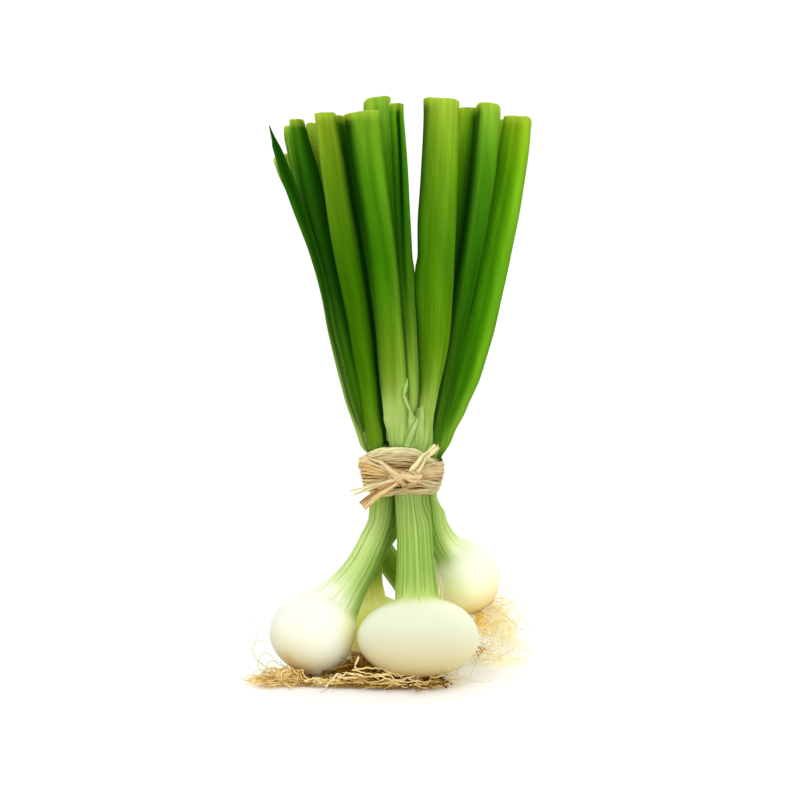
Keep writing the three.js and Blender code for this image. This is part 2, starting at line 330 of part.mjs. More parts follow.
// ---------------------------------------------------------------- raffia
function turnGeometry({ low, high, thick, lift }) {
  const mid = (low + high) / 2, section = [[0, low + 0.5], [thick * 0.75, low], [thick, mid], [thick * 0.75, high], [0, high - 0.5]];
  const stations = [...section, section[0]].map(([out, z]) => ({ r: 10 + out, out, z }));
  return warpedLathe(stations, 26, (st, angle) => {
    const front = Math.max(0, Math.cos(angle + Math.PI / 2)) ** 2;
    const z = st.z + lift * front * (st.z - low) / (high - low);
    const r = track(BUNDLE, Math.min(102.6, Math.max(84, st.z)))[0] + st.out;
    return [TIE_CENTRE[0] + Math.cos(angle) * r, TIE_CENTRE[1] + Math.sin(angle) * r, z];
  });
}
function knotGeometry() {
  const stations = [0, 0.25, 0.5, 0.75, 1].map((t) => ({ r: Math.sin(Math.PI * t), t }));
  stations[0].r = 0; stations[4].r = 0;
  return warpedLathe(stations, 10, (st, angle) => {
    const lump = 1 + 0.08 * Math.sin(3 * angle);
    return [KNOT.centre[0] + KNOT.size[0] * st.r * Math.cos(angle) * lump, KNOT.centre[1] - KNOT.size[1] * Math.cos(Math.PI * st.t), KNOT.centre[2] + KNOT.size[2] * st.r * Math.sin(angle) * lump];
  });
}
function tailGeometry({ width, thick, path }) {
  const shape = new THREE.Shape([new THREE.Vector2(-thick / 2, -width / 2), new THREE.Vector2(thick / 2, -width / 2), new THREE.Vector2(thick / 2, width / 2), new THREE.Vector2(-thick / 2, width / 2)]);
  const curve = new THREE.CatmullRomCurve3(path.map((v) => new THREE.Vector3(...v)));
  // straight guide first, then each section is set across the curve so the strip lies flat against the tie
  const steps = 6, g = new THREE.ExtrudeGeometry(shape, { depth: 1, steps, bevelEnabled: false });
  const p = g.attributes.position;
  for (let i = 0; i < p.count; i++) {
    const t = Math.min(1, Math.max(0, p.getZ(i))), c = curve.getPoint(t), T = curve.getTangent(t);
    const N = new THREE.Vector3(0, -1, 0).addScaledVector(T, T.y).normalize(), B = new THREE.Vector3().crossVectors(T, N);
    const v = c.addScaledVector(N, p.getX(i)).addScaledVector(B, p.getY(i) * (1 - 0.25 * t));
    p.setXYZ(i, v.x, v.y, v.z);
  }
  return closedBody(g);
}

// ---------------------------------------------------------------- assembly
const bunch = new THREE.Group();
const layout = new THREE.Group();
layout.position.set(...SHIFT);
bunch.add(layout);
function add(parent, name, geometry, colour, roughness) {
  const mesh = new THREE.Mesh(geometry, new THREE.MeshStandardMaterial({ color: colour, roughness, metalness: 0 }));
  mesh.name = name;
  parent.add(mesh);
}
for (const name of Object.keys(ONIONS)) {
  const onion = new THREE.Group();
  layout.add(onion);
  add(onion, `onion_${name}`, onionGeometry(name), COLOURS.bulb, 0.35);
  LEAVES[name].forEach((leaf, i) => add(onion, `leaf_${name}_${i + 1}`, leafGeometry(`${name}_${i + 1}`, leaf, POINTED.has(`${name}_${i + 1}`)), COLOURS.leaf, 0.45));
  const roots = name === 'right' ? cutBy(rightTuftGeometry(), ['right', 'front', 'rear']) : cutBy(rootMatGeometry(ROOTS[name]), Object.keys(ONIONS));
  add(onion, `roots_${name}`, roots, COLOURS.root, 0.9);
}
const tie = new THREE.Group();
layout.add(tie);
for (const [name, turn] of Object.entries(TURNS)) add(tie, name, turnGeometry(turn), COLOURS.raffia, 0.8);
add(tie, 'raffia_knot', knotGeometry(), COLOURS.raffia, 0.8);
for (const [name, tail] of Object.entries(TAILS)) add(tie, name, tailGeometry(tail), COLOURS.raffia, 0.8);

export default bunch;
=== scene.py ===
import math
import bpy
import numpy as np
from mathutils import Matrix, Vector


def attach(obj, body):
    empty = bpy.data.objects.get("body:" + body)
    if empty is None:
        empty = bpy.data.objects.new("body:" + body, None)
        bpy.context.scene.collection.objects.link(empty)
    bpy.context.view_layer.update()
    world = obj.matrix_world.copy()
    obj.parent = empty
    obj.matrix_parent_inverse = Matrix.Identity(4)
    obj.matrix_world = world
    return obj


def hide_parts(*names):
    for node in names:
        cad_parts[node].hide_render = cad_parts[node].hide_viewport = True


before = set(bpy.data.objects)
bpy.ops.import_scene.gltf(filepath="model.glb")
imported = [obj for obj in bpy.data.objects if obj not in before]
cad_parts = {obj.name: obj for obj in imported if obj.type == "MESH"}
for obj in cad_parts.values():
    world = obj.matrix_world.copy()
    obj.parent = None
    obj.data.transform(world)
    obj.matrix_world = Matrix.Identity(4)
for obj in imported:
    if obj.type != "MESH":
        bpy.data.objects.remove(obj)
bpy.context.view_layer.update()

MM = 0.001
SHIFT = np.array([2.7, 0.4, 0.0])          # layout to row frame, as in the CAD source
RNG = np.random.default_rng(7)

# ------------------------------------------------------------------ the shared dimensions (mm)
GAP = 0.3
TIE_CENTRE = np.array([1.4, 0.5])
BUNDLE = [[60, 60], [70, 27], [76, 19.2], [79, 17.3], [82, 16.4], [87, 16.7], [91, 17.3], [96, 17.5], [103.4, 18.0], [106, 19.4], [112, 25]]
ONIONS = {
    'front_left': dict(
        bulb=dict(radius=19.9, below=17.4, above=19.6, blend=3.2),
        spine=[[-50.1, -29.2, 5, 0, 0], [-41.6, -24, 19.2, 2, 0], [-32, -19.4, 31.4, 12, 0], [-24.3, -15.9, 41.2, 8.9, 0],
               [-17.8, -12.4, 51.2, 7.3, 0], [-12.9, -8.8, 61.5, 6.5, 0], [-9.2, -6.4, 71, 5.9, 0], [-8.4, -5.4, 79, 6.4, 0],
               [-8.4, -4.8, 88, 6.9, 0], [-9, -4.6, 97, 7.3, -0.05], [-10.8, -4.4, 104, 7.8, -0.15], [-12.6, -3.9, 108.2, 8.2, -0.25]]),
    'front': dict(
        bulb=dict(radius=28.4, below=18.3, above=18.2, blend=4.5),
        spine=[[8.4, -33.5, 2.4, 0, 0], [8.4, -32, 20.2, 3, 0], [8.2, -29.6, 30, 10.5, 0], [7.9, -26.8, 38, 10.1, 0],
               [7.7, -23.4, 46, 9.3, 0], [7.4, -20, 53, 8.7, 0], [6.8, -14.2, 67, 8.2, 0], [5.6, -10.3, 80, 8.1, 0],
               [5, -9.4, 88, 8.4, 0], [4.7, -9.5, 97, 8.9, 0.06], [4.7, -9.9, 104, 9.1, 0.12], [4.6, -10.2, 112, 9.2, 0.17], [4.5, -10.5, 121.2, 9.2, 0.18]]),
    'right': dict(
        bulb=dict(radius=16.5, below=17.8, above=17.5, blend=3.6),
        spine=[[38.7, 15.2, 24.2, 0, 0], [31.5, 12, 39.9, 2, 0], [26.2, 9.6, 50.4, 8.2, 0], [19.8, 6.8, 59.5, 7.1, 0],
               [16, 4.6, 69, 6.4, 0], [15.1, 3.4, 77, 6.6, 0], [13.2, 2.6, 87, 6.6, 0], [13.4, 2.4, 96, 6.9, -0.03],
               [15.4, 2.4, 103.5, 7.2, -0.12], [17.4, 2.3, 108.2, 7.5, -0.25]]),
    'rear_left': dict(
        bulb=dict(radius=19.5, below=13.8, above=14.5, blend=2.6),
        spine=[[-14.4, 12.4, 2.6, 0, 0], [-15, 13, 16, 2, 0], [-15.8, 13.5, 28, 8.6, 0], [-15.9, 13.6, 38, 7.3, 0], [-15.6, 13, 47, 7.1, 0],
               [-12.2, 11, 55, 6.6, 0], [-7.4, 9, 63, 6.4, 0], [-1.5, 8.8, 70, 6.6, 0], [3, 9.8, 77, 6.9, 0], [4.6, 11, 84, 7, 0],
               [5, 11.5, 92, 7.1, 0], [5.4, 11.5, 99, 7.3, 0.04], [6.4, 11, 105, 7.6, 0.1], [6.9, 10.8, 108.2, 7.9, 0.15]]),
    'rear': dict(
        bulb=dict(radius=17, below=15.9, above=16.5, blend=3.6),
        spine=[[19, 44, 2.6, 0, 0], [16, 42, 18, 2, 0], [9.4, 37.6, 26.8, 8.4, 0], [1.6, 32.6, 36.4, 7.2, 0], [-5.1, 28.2, 45, 6.1, 0],
               [-10, 24.4, 53.6, 6, 0], [-9.5, 20.2, 64, 5.8, 0], [-8.1, 15, 75, 6, 0], [-8.4, 11.3, 83, 6.8, 0],
               [-7.9, 9.4, 91, 7, 0], [-7.3, 9, 98, 7.2, 0], [-7.3, 8.8, 104, 7.5, 0.05], [-7.6, 8.4, 108.2, 7.9, 0.1]]),
}
# leaves: phi turns the wide axis, top is the cut, rows are [z, x, y, half width, half thickness]
LEAVES = {
    'front_left': [
        dict(phi=80, top=256.5, rows=[[108, -17.5, -7.3, 2.72, 1.53], [114, -19.1, -7.7, 2.96, 1.75], [120, -21.1, -8.1, 3.20, 1.75], [127, -23.5, -8.4, 3.30, 1.65], [136, -25.8, -8.7, 3.50, 1.60], [148, -28.6, -9.0, 3.80, 1.60], [162, -31.9, -9.0, 4.20, 1.50], [178, -34.8, -8.8, 4.50, 1.65], [196, -39.4, -8.4, 4.70, 2.00], [215, -45.8, -8.0, 4.60, 2.45], [225, -49.3, -7.7, 4.50, 2.65], [235, -53.1, -7.5, 4.00, 2.50], [245, -56.5, -7.2, 3.00, 1.85], [252, -59.1, -7.0, 2.20, 1.30], [257, -60.8, -7.0, 1.60, 1.10]]),
        dict(phi=15, top=257.5, rows=[[108, -16.0, 4.0, 2.94, 2.47], [114, -17.8, 4.1, 3.16, 2.56], [120, -19.4, 4.2, 3.36, 2.64], [127, -20.9, 4.3, 3.51, 2.74], [136, -23.0, 4.5, 3.71, 2.87], [148, -26.0, 4.7, 3.97, 3.00], [162, -29.5, 5.1, 4.00, 3.10], [178, -33.3, 5.6, 3.75, 3.21], [196, -38.2, 6.1, 4.10, 3.33], [215, -43.2, 6.7, 4.00, 3.25], [235, -47.8, 7.2, 3.50, 3.16], [252, -51.4, 7.7, 3.40, 3.08]]),
        dict(phi=-10, top=260.3, rows=[[108, -13.8, -1.8, 3.13, 2.47], [114, -15.4, -1.9, 3.35, 2.56], [120, -16.9, -2.0, 3.56, 2.64], [127, -18.6, -2.0, 3.76, 2.74], [136, -20.6, -1.9, 4.02, 2.86], [148, -23.4, -1.8, 4.36, 3.00], [162, -26.5, -1.7, 4.69, 3.09], [178, -30.1, -1.8, 5.01, 3.20], [196, -34.1, -2.0, 5.38, 3.42], [215, -38.5, -2.3, 5.45, 3.38], [235, -43.2, -2.6, 5.35, 3.26], [252, -46.9, -2.9, 4.07, 3.10], [262, -48.5, -3.1, 3.32, 3.06]]),
        dict(phi=-4, top=262.9, rows=[[108, -11.5, -11.6, 3.78, 2.47], [114, -12.3, -11.4, 4.06, 2.55], [120, -13.4, -11.4, 4.15, 2.64], [127, -14.3, -11.5, 4.32, 2.73], [136, -15.2, -11.7, 4.62, 2.85], [148, -16.8, -12.2, 4.90, 3.01], [162, -18.6, -12.8, 5.42, 3.19], [178, -21.1, -13.6, 5.89, 3.43], [196, -24.3, -14.5, 6.25, 3.65], [215, -27.5, -15.4, 6.16, 3.58], [235, -30.5, -16.5, 5.69, 3.36], [252, -32.9, -17.3, 5.10, 3.13], [262, -34.4, -17.9, 4.69, 3.06]]),
    ],
    'front': [
        dict(phi=3, top=263.1, rows=[[120, -1.6, -13.5, 5.92, 2.90], [127, -2.1, -13.9, 6.04, 3.04], [136, -2.9, -14.5, 6.28, 3.26], [148, -3.8, -15.3, 6.47, 3.55], [162, -4.9, -16.2, 6.67, 3.51], [178, -6.5, -17.3, 6.92, 3.70], [196, -8.7, -18.5, 7.27, 3.93], [215, -11.4, -19.7, 7.57, 3.96], [235, -14.2, -21.0, 7.86, 3.94], [252, -16.3, -22.1, 8.01, 3.89], [262, -17.4, -22.8, 8.01, 3.83]]),
        dict(phi=35, top=267.4, rows=[[120, 5.7, -5.5, 3.29, 2.63], [127, 6.0, -5.4, 3.40, 2.72], [136, 6.1, -5.4, 3.55, 2.84], [148, 5.6, -5.4, 3.73, 2.99], [162, 4.8, -5.3, 3.84, 3.07], [178, 3.3, -5.3, 3.62, 3.18], [196, 2.2, -5.2, 3.76, 3.29], [215, 1.2, -5.2, 3.75, 3.28], [235, 0.1, -5.1, 3.64, 3.19], [252, -0.9, -5.0, 3.55, 3.12], [262, -1.7, -5.0, 3.50, 3.08]]),
        dict(phi=-3, top=269.3, rows=[[120, 12.0, -12.6, 3.52, 2.90], [127, 13.0, -13.1, 3.86, 3.04], [136, 14.1, -13.7, 4.53, 3.26], [148, 15.1, -14.6, 6.18, 3.55], [162, 15.8, -15.6, 7.43, 3.69], [178, 16.3, -16.8, 8.22, 4.02], [196, 16.8, -18.0, 8.75, 4.31], [215, 17.2, -19.4, 8.92, 4.35], [235, 18.1, -20.8, 8.60, 4.24], [252, 18.7, -22.1, 8.38, 4.09], [262, 18.9, -22.8, 7.97, 3.93]]),
    ],
    'right': [
        dict(phi=6, top=267.5, rows=[[108, 16.4, -3.5, 2.86, 2.47], [114, 17.7, -3.7, 2.97, 2.55], [120, 19.0, -3.8, 3.08, 2.63], [127, 20.3, -4.0, 3.23, 2.72], [136, 21.9, -4.2, 3.42, 2.84], [148, 24.1, -4.5, 3.67, 2.99], [162, 26.8, -4.8, 4.06, 3.07], [178, 29.9, -5.3, 4.56, 3.17], [196, 33.3, -5.8, 5.10, 3.32], [215, 36.5, -6.4, 5.45, 3.40], [235, 39.0, -7.0, 5.72, 3.39], [252, 40.4, -7.6, 5.86, 3.35], [262, 41.1, -7.9, 5.73, 3.27]]),
        dict(phi=14, top=261.8, rows=[[108, 20.2, 2.0, 4.30, 2.47], [114, 22.2, 2.1, 4.90, 2.55], [120, 24.6, 2.2, 5.90, 2.80], [127, 27.1, 2.2, 6.40, 2.99], [136, 30.3, 2.1, 7.30, 3.21], [148, 33.7, 2.1, 7.80, 3.48], [162, 37.6, 2.1, 7.90, 3.66], [178, 41.4, 2.0, 7.60, 3.82], [196, 44.9, 2.0, 7.60, 3.97], [215, 48.3, 2.0, 7.80, 3.94], [235, 51.9, 2.0, 7.60, 3.80], [252, 54.2, 2.0, 7.20, 3.63], [262, 55.3, 2.0, 6.70, 3.48]]),
        dict(phi=38, top=261.1, rows=[[108, 18.4, 7.7, 2.96, 2.47], [114, 20.1, 8.3, 3.19, 2.55], [120, 21.7, 8.8, 3.40, 2.64], [127, 23.5, 9.6, 3.60, 2.73], [136, 25.7, 10.5, 3.87, 2.86], [148, 28.5, 11.8, 4.22, 3.00], [162, 31.6, 13.4, 4.65, 3.09], [178, 35.1, 15.2, 5.15, 3.23], [196, 38.8, 17.2, 5.72, 3.51], [215, 42.5, 19.4, 5.81, 3.48], [235, 46.3, 21.6, 5.67, 3.35], [252, 49.4, 23.5, 5.46, 3.22], [262, 51.2, 24.7, 5.35, 3.15]]),
    ],
    'rear_left': [
        dict(phi=6, top=271.0, rows=[[108, 1.9, 9.0, 2.74, 2.47], [114, 1.6, 9.1, 2.96, 2.55], [120, 1.3, 9.1, 3.17, 2.63], [127, 0.8, 9.1, 3.42, 2.72], [136, 0.2, 9.2, 3.74, 2.83], [148, -0.7, 9.3, 4.17, 2.98], [162, -1.8, 9.4, 4.57, 3.07], [178, -3.0, 9.5, 4.98, 3.17], [196, -4.5, 9.6, 5.44, 3.40], [215, -6.6, 9.7, 5.84, 3.52], [235, -8.5, 9.8, 6.25, 3.47], [252, -10.0, 9.9, 6.24, 3.40], [262, -10.9, 10.0, 6.18, 3.34]]),
        dict(phi=-8, top=266.2, rows=[[108, 11.8, 8.1, 2.73, 2.47], [114, 12.8, 8.2, 2.95, 2.55], [120, 13.9, 8.4, 3.16, 2.63], [127, 15.1, 8.6, 3.36, 2.72], [136, 16.8, 8.8, 3.62, 2.85], [148, 18.9, 9.1, 3.96, 2.99], [162, 21.3, 9.4, 4.28, 3.08], [178, 23.8, 9.8, 4.61, 3.18], [196, 26.3, 10.3, 4.98, 3.29], [215, 28.6, 10.8, 5.37, 3.38], [235, 30.7, 11.2, 5.52, 3.33], [252, 32.2, 11.7, 5.39, 3.22], [262, 33.0, 11.9, 5.15, 3.12]]),
        dict(phi=20, top=264.2, rows=[[108, 7.8, 14.4, 2.77, 2.47], [114, 8.8, 15.1, 3.00, 2.55], [120, 9.8, 15.8, 3.22, 2.63], [127, 10.9, 16.6, 3.48, 2.73], [136, 12.1, 17.7, 3.81, 2.85], [148, 13.6, 19.1, 4.24, 2.99], [162, 15.1, 20.8, 4.76, 3.08], [178, 16.5, 22.7, 5.34, 3.28], [196, 17.9, 24.8, 6.00, 3.58], [215, 19.1, 27.1, 6.44, 3.66], [235, 20.2, 29.4, 6.60, 3.61], [252, 21.1, 31.5, 6.62, 3.53], [262, 21.6, 32.6, 6.62, 3.48]]),
    ],
    'rear': [
        dict(phi=28, top=243.6, rows=[[108, -12.4, 10.5, 2.93, 2.48], [114, -14.6, 10.5, 3.04, 2.57], [120, -16.9, 10.6, 3.16, 2.66], [127, -19.6, 10.8, 3.31, 2.77], [136, -23.0, 11.2, 3.50, 2.91], [148, -27.4, 11.8, 3.10, 2.80], [162, -31.2, 12.6, 2.80, 2.70], [178, -35.0, 13.5, 2.75, 2.60], [196, -40.3, 14.6, 2.80, 2.60], [215, -46.8, 15.8, 3.00, 2.70], [227, -51.2, 16.6, 3.50, 2.80], [235, -54.6, 17.1, 3.90, 2.80], [245, -57.3, 17.1, 3.60, 2.60]]),
        dict(phi=12, top=258.9, rows=[[108, -8.2, 6.4, 3.15, 2.47], [114, -9.8, 6.7, 3.26, 2.56], [120, -11.5, 7.1, 3.38, 2.64], [127, -13.4, 7.6, 3.53, 2.74], [136, -15.7, 8.2, 3.72, 2.87], [148, -18.7, 8.9, 3.98, 3.00], [162, -22.0, 9.5, 4.23, 3.09], [178, -25.6, 10.2, 4.48, 3.20], [196, -29.3, 10.9, 4.76, 3.32], [215, -33.1, 11.7, 4.71, 3.25], [235, -37.0, 12.5, 4.61, 3.16], [252, -40.4, 13.2, 4.28, 3.09]]),
        dict(phi=-8, top=261.8, rows=[[108, -5.3, 1.4, 2.66, 2.47], [114, -6.3, 1.9, 2.77, 2.55], [120, -7.2, 2.2, 2.88, 2.64], [127, -8.2, 2.4, 3.03, 2.73], [136, -9.6, 2.5, 3.22, 2.86], [148, -11.3, 2.4, 3.47, 2.99], [162, -13.2, 2.3, 3.72, 3.09], [178, -15.5, 2.1, 3.96, 3.19], [196, -18.0, 1.9, 4.24, 3.31], [215, -20.6, 1.7, 4.28, 3.26], [235, -23.3, 1.4, 4.23, 3.18], [252, -25.5, 1.2, 3.96, 3.10], [262, -26.9, 1.0, 3.80, 3.06]]),
        dict(phi=-35, top=261.2, rows=[[108, -3.5, 12.3, 3.00, 2.47], [114, -4.0, 13.0, 3.23, 2.55], [120, -4.5, 13.7, 3.45, 2.64], [127, -5.2, 14.5, 3.70, 2.73], [136, -6.2, 15.5, 4.03, 2.86], [148, -7.6, 16.8, 4.47, 3.00], [162, -9.3, 18.4, 4.93, 3.09], [178, -11.3, 20.2, 5.43, 3.31], [196, -13.6, 22.2, 6.00, 3.59], [215, -16.0, 24.4, 6.42, 3.65], [235, -18.6, 26.6, 6.51, 3.57], [252, -20.9, 28.5, 6.41, 3.46], [262, -22.2, 29.7, 6.36, 3.41]]),
    ],}
CUT_SLANT = {'front_1': 0.12, 'front_2': -0.1, 'front_3': -0.05, 'right_1': -0.13, 'rear_1': 0.38, 'right_2': -0.06, 'rear_left_1': 0.15, 'rear_3': -0.2, 'front_left_4': 0.06}


# ------------------------------------------------------------------ helpers
class Track:
    """Smooth interpolation of rows whose first column is the parameter."""
    def __init__(self, rows):
        a = np.array(rows, float)
        self.t, self.v = a[:, 0], a[:, 1:]
        h = np.diff(self.t)
        d = np.diff(self.v, axis=0) / h[:, None]
        m = np.empty_like(self.v)
        m[0], m[-1] = d[0], d[-1]
        m[1:-1] = (d[:-1] * h[1:, None] + d[1:] * h[:-1, None]) / (h[:-1] + h[1:])[:, None]
        self.m = m

    def __call__(self, t):
        t = np.atleast_1d(np.asarray(t, float))
        k = np.clip(np.searchsorted(self.t, t, side='right') - 1, 0, len(self.t) - 2)
        h = (self.t[k + 1] - self.t[k])
        u = np.clip((t - self.t[k]) / h, 0, 1)[:, None]
        h = h[:, None]
        u2, u3 = u * u, u * u * u
        return (2 * u3 - 3 * u2 + 1) * self.v[k] + (u3 - 2 * u2 + u) * self.m[k] * h + (3 * u2 - 2 * u3) * self.v[k + 1] + (u3 - u2) * self.m[k + 1] * h


def smooth(lo, hi, x):
    t = np.clip((np.asarray(x, float) - lo) / (hi - lo), 0, 1)
    return t * t * (3 - 2 * t)


def srgb(*c):
    """Linear colour from 0-255 sRGB values."""
    c = np.array(c, float) / 255
    return np.where(c <= 0.04045, c / 12.92, ((c + 0.055) / 1.055) ** 2.4)


def mixc(a, b, t):
    t = np.asarray(t, float)[..., None]
    return a * (1 - t) + b * t


def ripple(x, seed, freqs, amps):
    """A smooth repeatable wobble of one variable."""
    r = np.random.default_rng(seed)
    out = np.zeros_like(np.asarray(x, float))
    for f, a in zip(freqs, amps):
        out = out + a * np.sin(f * x + r.uniform(0, 2 * math.pi))
    return out


def make_mesh(name, verts, faces, mat, smooth_shade=True, uv=None, attrs=None, auto=None):
    """verts in layout millimetres, placed in the row frame in metres."""
    v = (np.asarray(verts, float) + SHIFT) * MM
    me = bpy.data.meshes.new(name)
    me.from_pydata(v.tolist(), [], faces)
    me.materials.append(mat)
    if smooth_shade:
        me.polygons.foreach_set("use_smooth", [True] * len(me.polygons))
    if attrs:
        for key, val in attrs.items():
            val = np.asarray(val, float)
            if val.ndim == 2:
                a = me.color_attributes.new(name=key, type='FLOAT_COLOR', domain='POINT')
                full = np.ones((len(val), 4))
                full[:, :3] = val
                a.data.foreach_set("color", full.ravel())
            else:
                a = me.attributes.new(name=key, type='FLOAT', domain='POINT')
                a.data.foreach_set("value", val.ravel())
    if uv is not None:
        layer = me.uv_layers.new(name="Along")
        loop_v = np.zeros(len(me.loops), int)
        me.loops.foreach_get("vertex_index", loop_v)
        layer.data.foreach_set("uv", np.asarray(uv, float)[loop_v].ravel())
    me.update()
    ob = bpy.data.objects.new(name, me)
    bpy.context.scene.collection.objects.link(ob)
    return ob


def finish_piece(ob, slot, *nodes):
    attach(ob, "root")
    if nodes:
        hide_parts(*nodes)
    return ob


def grid_faces(rings, sides, offset=0, closed=True, flip=False):
    f = []
    for i in range(rings - 1):
        a, b = offset + i * sides, offset + (i + 1) * sides
        for j in range(sides if closed else sides - 1):
            k = (j + 1) % sides
            q = (a + j, a + k, b + k, b + j)
            f.append(q[::-1] if flip else q)
    return f


# ------------------------------------------------------------------ materials
def new_mat(name):
    m = bpy.data.materials.new(name)
    m.use_nodes = True
    nt = m.node_tree
    nt.nodes.clear()
    out = nt.nodes.new('ShaderNodeOutputMaterial')
    p = nt.nodes.new('ShaderNodeBsdfPrincipled')
    nt.links.new(p.outputs[0], out.inputs[0])
    return m, nt, p


def N(nt, kind, **props):
    n = nt.nodes.new(kind)
    for k, v in props.items():
        setattr(n, k, v)
    return n


def attr(nt, name):
    return N(nt, 'ShaderNodeAttribute', attribute_name=name)


def mapped_noise(nt, scale_xy, detail=4.0, rough=0.55, source=None):
    """Noise stretched along the piece: fine across (u), long along (v)."""
    uvn = N(nt, 'ShaderNodeUVMap', uv_map="Along")
    mp = N(nt, 'ShaderNodeMapping')
    mp.inputs['Scale'].default_value = (scale_xy[0], scale_xy[1], 1)
    nt.links.new(uvn.outputs[0], mp.inputs[0])
    no = N(nt, 'ShaderNodeTexNoise')
    no.inputs['Scale'].default_value = 1.0
    no.inputs['Detail'].default_value = detail
    no.inputs['Roughness'].default_value = rough
    nt.links.new(mp.outputs[0], no.inputs['Vector'])
    return no


def mixn(nt, mode, fac, a, b):
    m = N(nt, 'ShaderNodeMix', data_type='RGBA', blend_type=mode)
    if isinstance(fac, (int, float)):
        m.inputs[0].default_value = fac
    else:
        nt.links.new(fac, m.inputs[0])
    for s, v in ((6, a), (7, b)):
        if isinstance(v, (tuple, list)):
            m.inputs[s].default_value = (*v, 1) if len(v) == 3 else v
        else:
            nt.links.new(v, m.inputs[s])
    return m.outputs[2]


def ramp(nt, src, stops):
    r = N(nt, 'ShaderNodeValToRGB')
    els = r.color_ramp.elements
    while len(els) > 1:
        els.remove(els[-1])
    for i, (pos, col) in enumerate(stops):
        e = els[0] if i == 0 else els.new(pos)
        e.position = pos
        e.color = (*col, 1) if len(col) == 3 else col
    nt.links.new(src, r.inputs[0])
    return r.outputs[0]


def bump(nt, height, strength, distance, p, after=None):
    b = N(nt, 'ShaderNodeBump')
    b.inputs['Strength'].default_value = strength
    b.inputs['Distance'].default_value = distance
    nt.links.new(height, b.inputs['Height'])
    if after is not None:
        nt.links.new(after, b.inputs['Normal'])
    nt.links.new(b.outputs[0], p.inputs['Normal'])
    return b.outputs[0]


def skin_material():
    m, nt, p = new_mat("OnionSkin")
    col = attr(nt, "Col").outputs['Color']
    green = attr(nt, "Green").outputs['Fac']
    fine = mapped_noise(nt, (190, 2.2), 3, 0.6)
    broad = mapped_noise(nt, (46, 1.1), 2, 0.5)
    # ribs: darker green threads between pale ridges, strong on the neck, a ghost of them on the bulb
    dark = ramp(nt, fine.outputs[0], [(0.34, (0.50, 0.62, 0.34)), (0.45, (0.90, 0.93, 0.84)), (0.58, (1.0, 1.0, 1.0)), (0.70, (1.22, 1.16, 1.36))])
    neck = mixn(nt, 'MULTIPLY', 1.0, col, dark)
    veins = ramp(nt, broad.outputs[0], [(0.36, (0.992, 0.994, 0.98)), (0.5, (1, 1, 1)), (0.62, (1.004, 1.004, 1.0))])
    bulb = mixn(nt, 'MULTIPLY', 1.0, col, veins)
    both = mixn(nt, 'MIX', green, bulb, neck)
    nt.links.new(both, p.inputs['Base Color'])
    rough = N(nt, 'ShaderNodeMapRange')
    rough.inputs['To Min'].default_value = 0.24
    rough.inputs['To Max'].default_value = 0.42
    nt.links.new(green, rough.inputs['Value'])
    nt.links.new(rough.outputs[0], p.inputs['Roughness'])
    p.inputs['Specular IOR Level'].default_value = 0.12
    # painted light: the skin glows faintly in its own colour, lifting its shaded parts
    nt.links.new(both, p.inputs['Emission Color'])
    p.inputs['Emission Strength'].default_value = 0.06
    p.inputs['Subsurface Weight'].default_value = 0.12
    p.inputs['Subsurface Radius'].default_value = (1.0, 0.9, 0.55)
    p.inputs['Subsurface Scale'].default_value = 0.004
    # the ribs fade out over the bulb
    share = N(nt, 'ShaderNodeMapRange')
    share.inputs['To Min'].default_value = 0.06
    share.inputs['To Max'].default_value = 1.0
    nt.links.new(green, share.inputs['Value'])
    relief = N(nt, 'ShaderNodeMath')
    relief.operation = 'MULTIPLY'
    nt.links.new(fine.outputs[0], relief.inputs[0])
    nt.links.new(share.outputs[0], relief.inputs[1])
    bump(nt, relief.outputs[0], 0.40, 0.0006, p)
    return m


def leaf_material():
    m, nt, p = new_mat("LeafGreen")
    col = attr(nt, "Col").outputs['Color']
    fine = mapped_noise(nt, (150, 1.6), 3, 0.6)
    broad = mapped_noise(nt, (26, 2.4), 3, 0.55)
    streak = ramp(nt, fine.outputs[0], [(0.35, (0.80, 0.84, 0.72)), (0.5, (1, 1, 1)), (0.66, (1.16, 1.10, 1.12))])
    c1 = mixn(nt, 'MULTIPLY', 0.9, col, streak)
    patch = ramp(nt, broad.outputs[0], [(0.32, (0.84, 0.90, 0.80)), (0.5, (1, 1, 1)), (0.68, (1.14, 1.08, 1.0))])
    c2 = mixn(nt, 'MULTIPLY', 0.9, c1, patch)
    nt.links.new(c2, p.inputs['Base Color'])
    p.inputs['Roughness'].default_value = 0.36
    p.inputs['Specular IOR Level'].default_value = 0.0
    # painted light: the blades glow faintly green
    p.inputs['Emission Color'].default_value = (0.06, 1.0, 0.03, 1)
    p.inputs['Emission Strength'].default_value = 0.010
    p.inputs['Subsurface Weight'].default_value = 0.08
    p.inputs['Subsurface Radius'].default_value = (0.5, 1.0, 0.2)
    p.inputs['Subsurface Scale'].default_value = 0.0015
    bump(nt, fine.outputs[0], 0.3, 0.0004, p)
    return m


def root_material(name="DryRoot", through=0.08):
    """through: strength of a painted glow in the roots' own colour, standing in for light that passes through the thin
    roots.
    """
    m, nt, p = new_mat(name)
    col = attr(nt, "Col").outputs['Color']
    no = mapped_noise(nt, (6, 60), 3, 0.6)
    c = mixn(nt, 'MULTIPLY', 0.8, col, ramp(nt, no.outputs[0], [(0.35, (0.72, 0.66, 0.55)), (0.5, (1, 1, 1)), (0.7, (1.15, 1.12, 1.05))]))
    nt.links.new(c, p.inputs['Base Color'])
    # painted light: the roots glow in their own colour
    nt.links.new(c, p.inputs['Emission Color'])
    p.inputs['Emission Strength'].default_value = through
    p.inputs['Roughness'].default_value = 0.6
    p.inputs['Specular IOR Level'].default_value = 0.05
    bump(nt, no.outputs[0], 0.4, 0.0002, p)
    return m


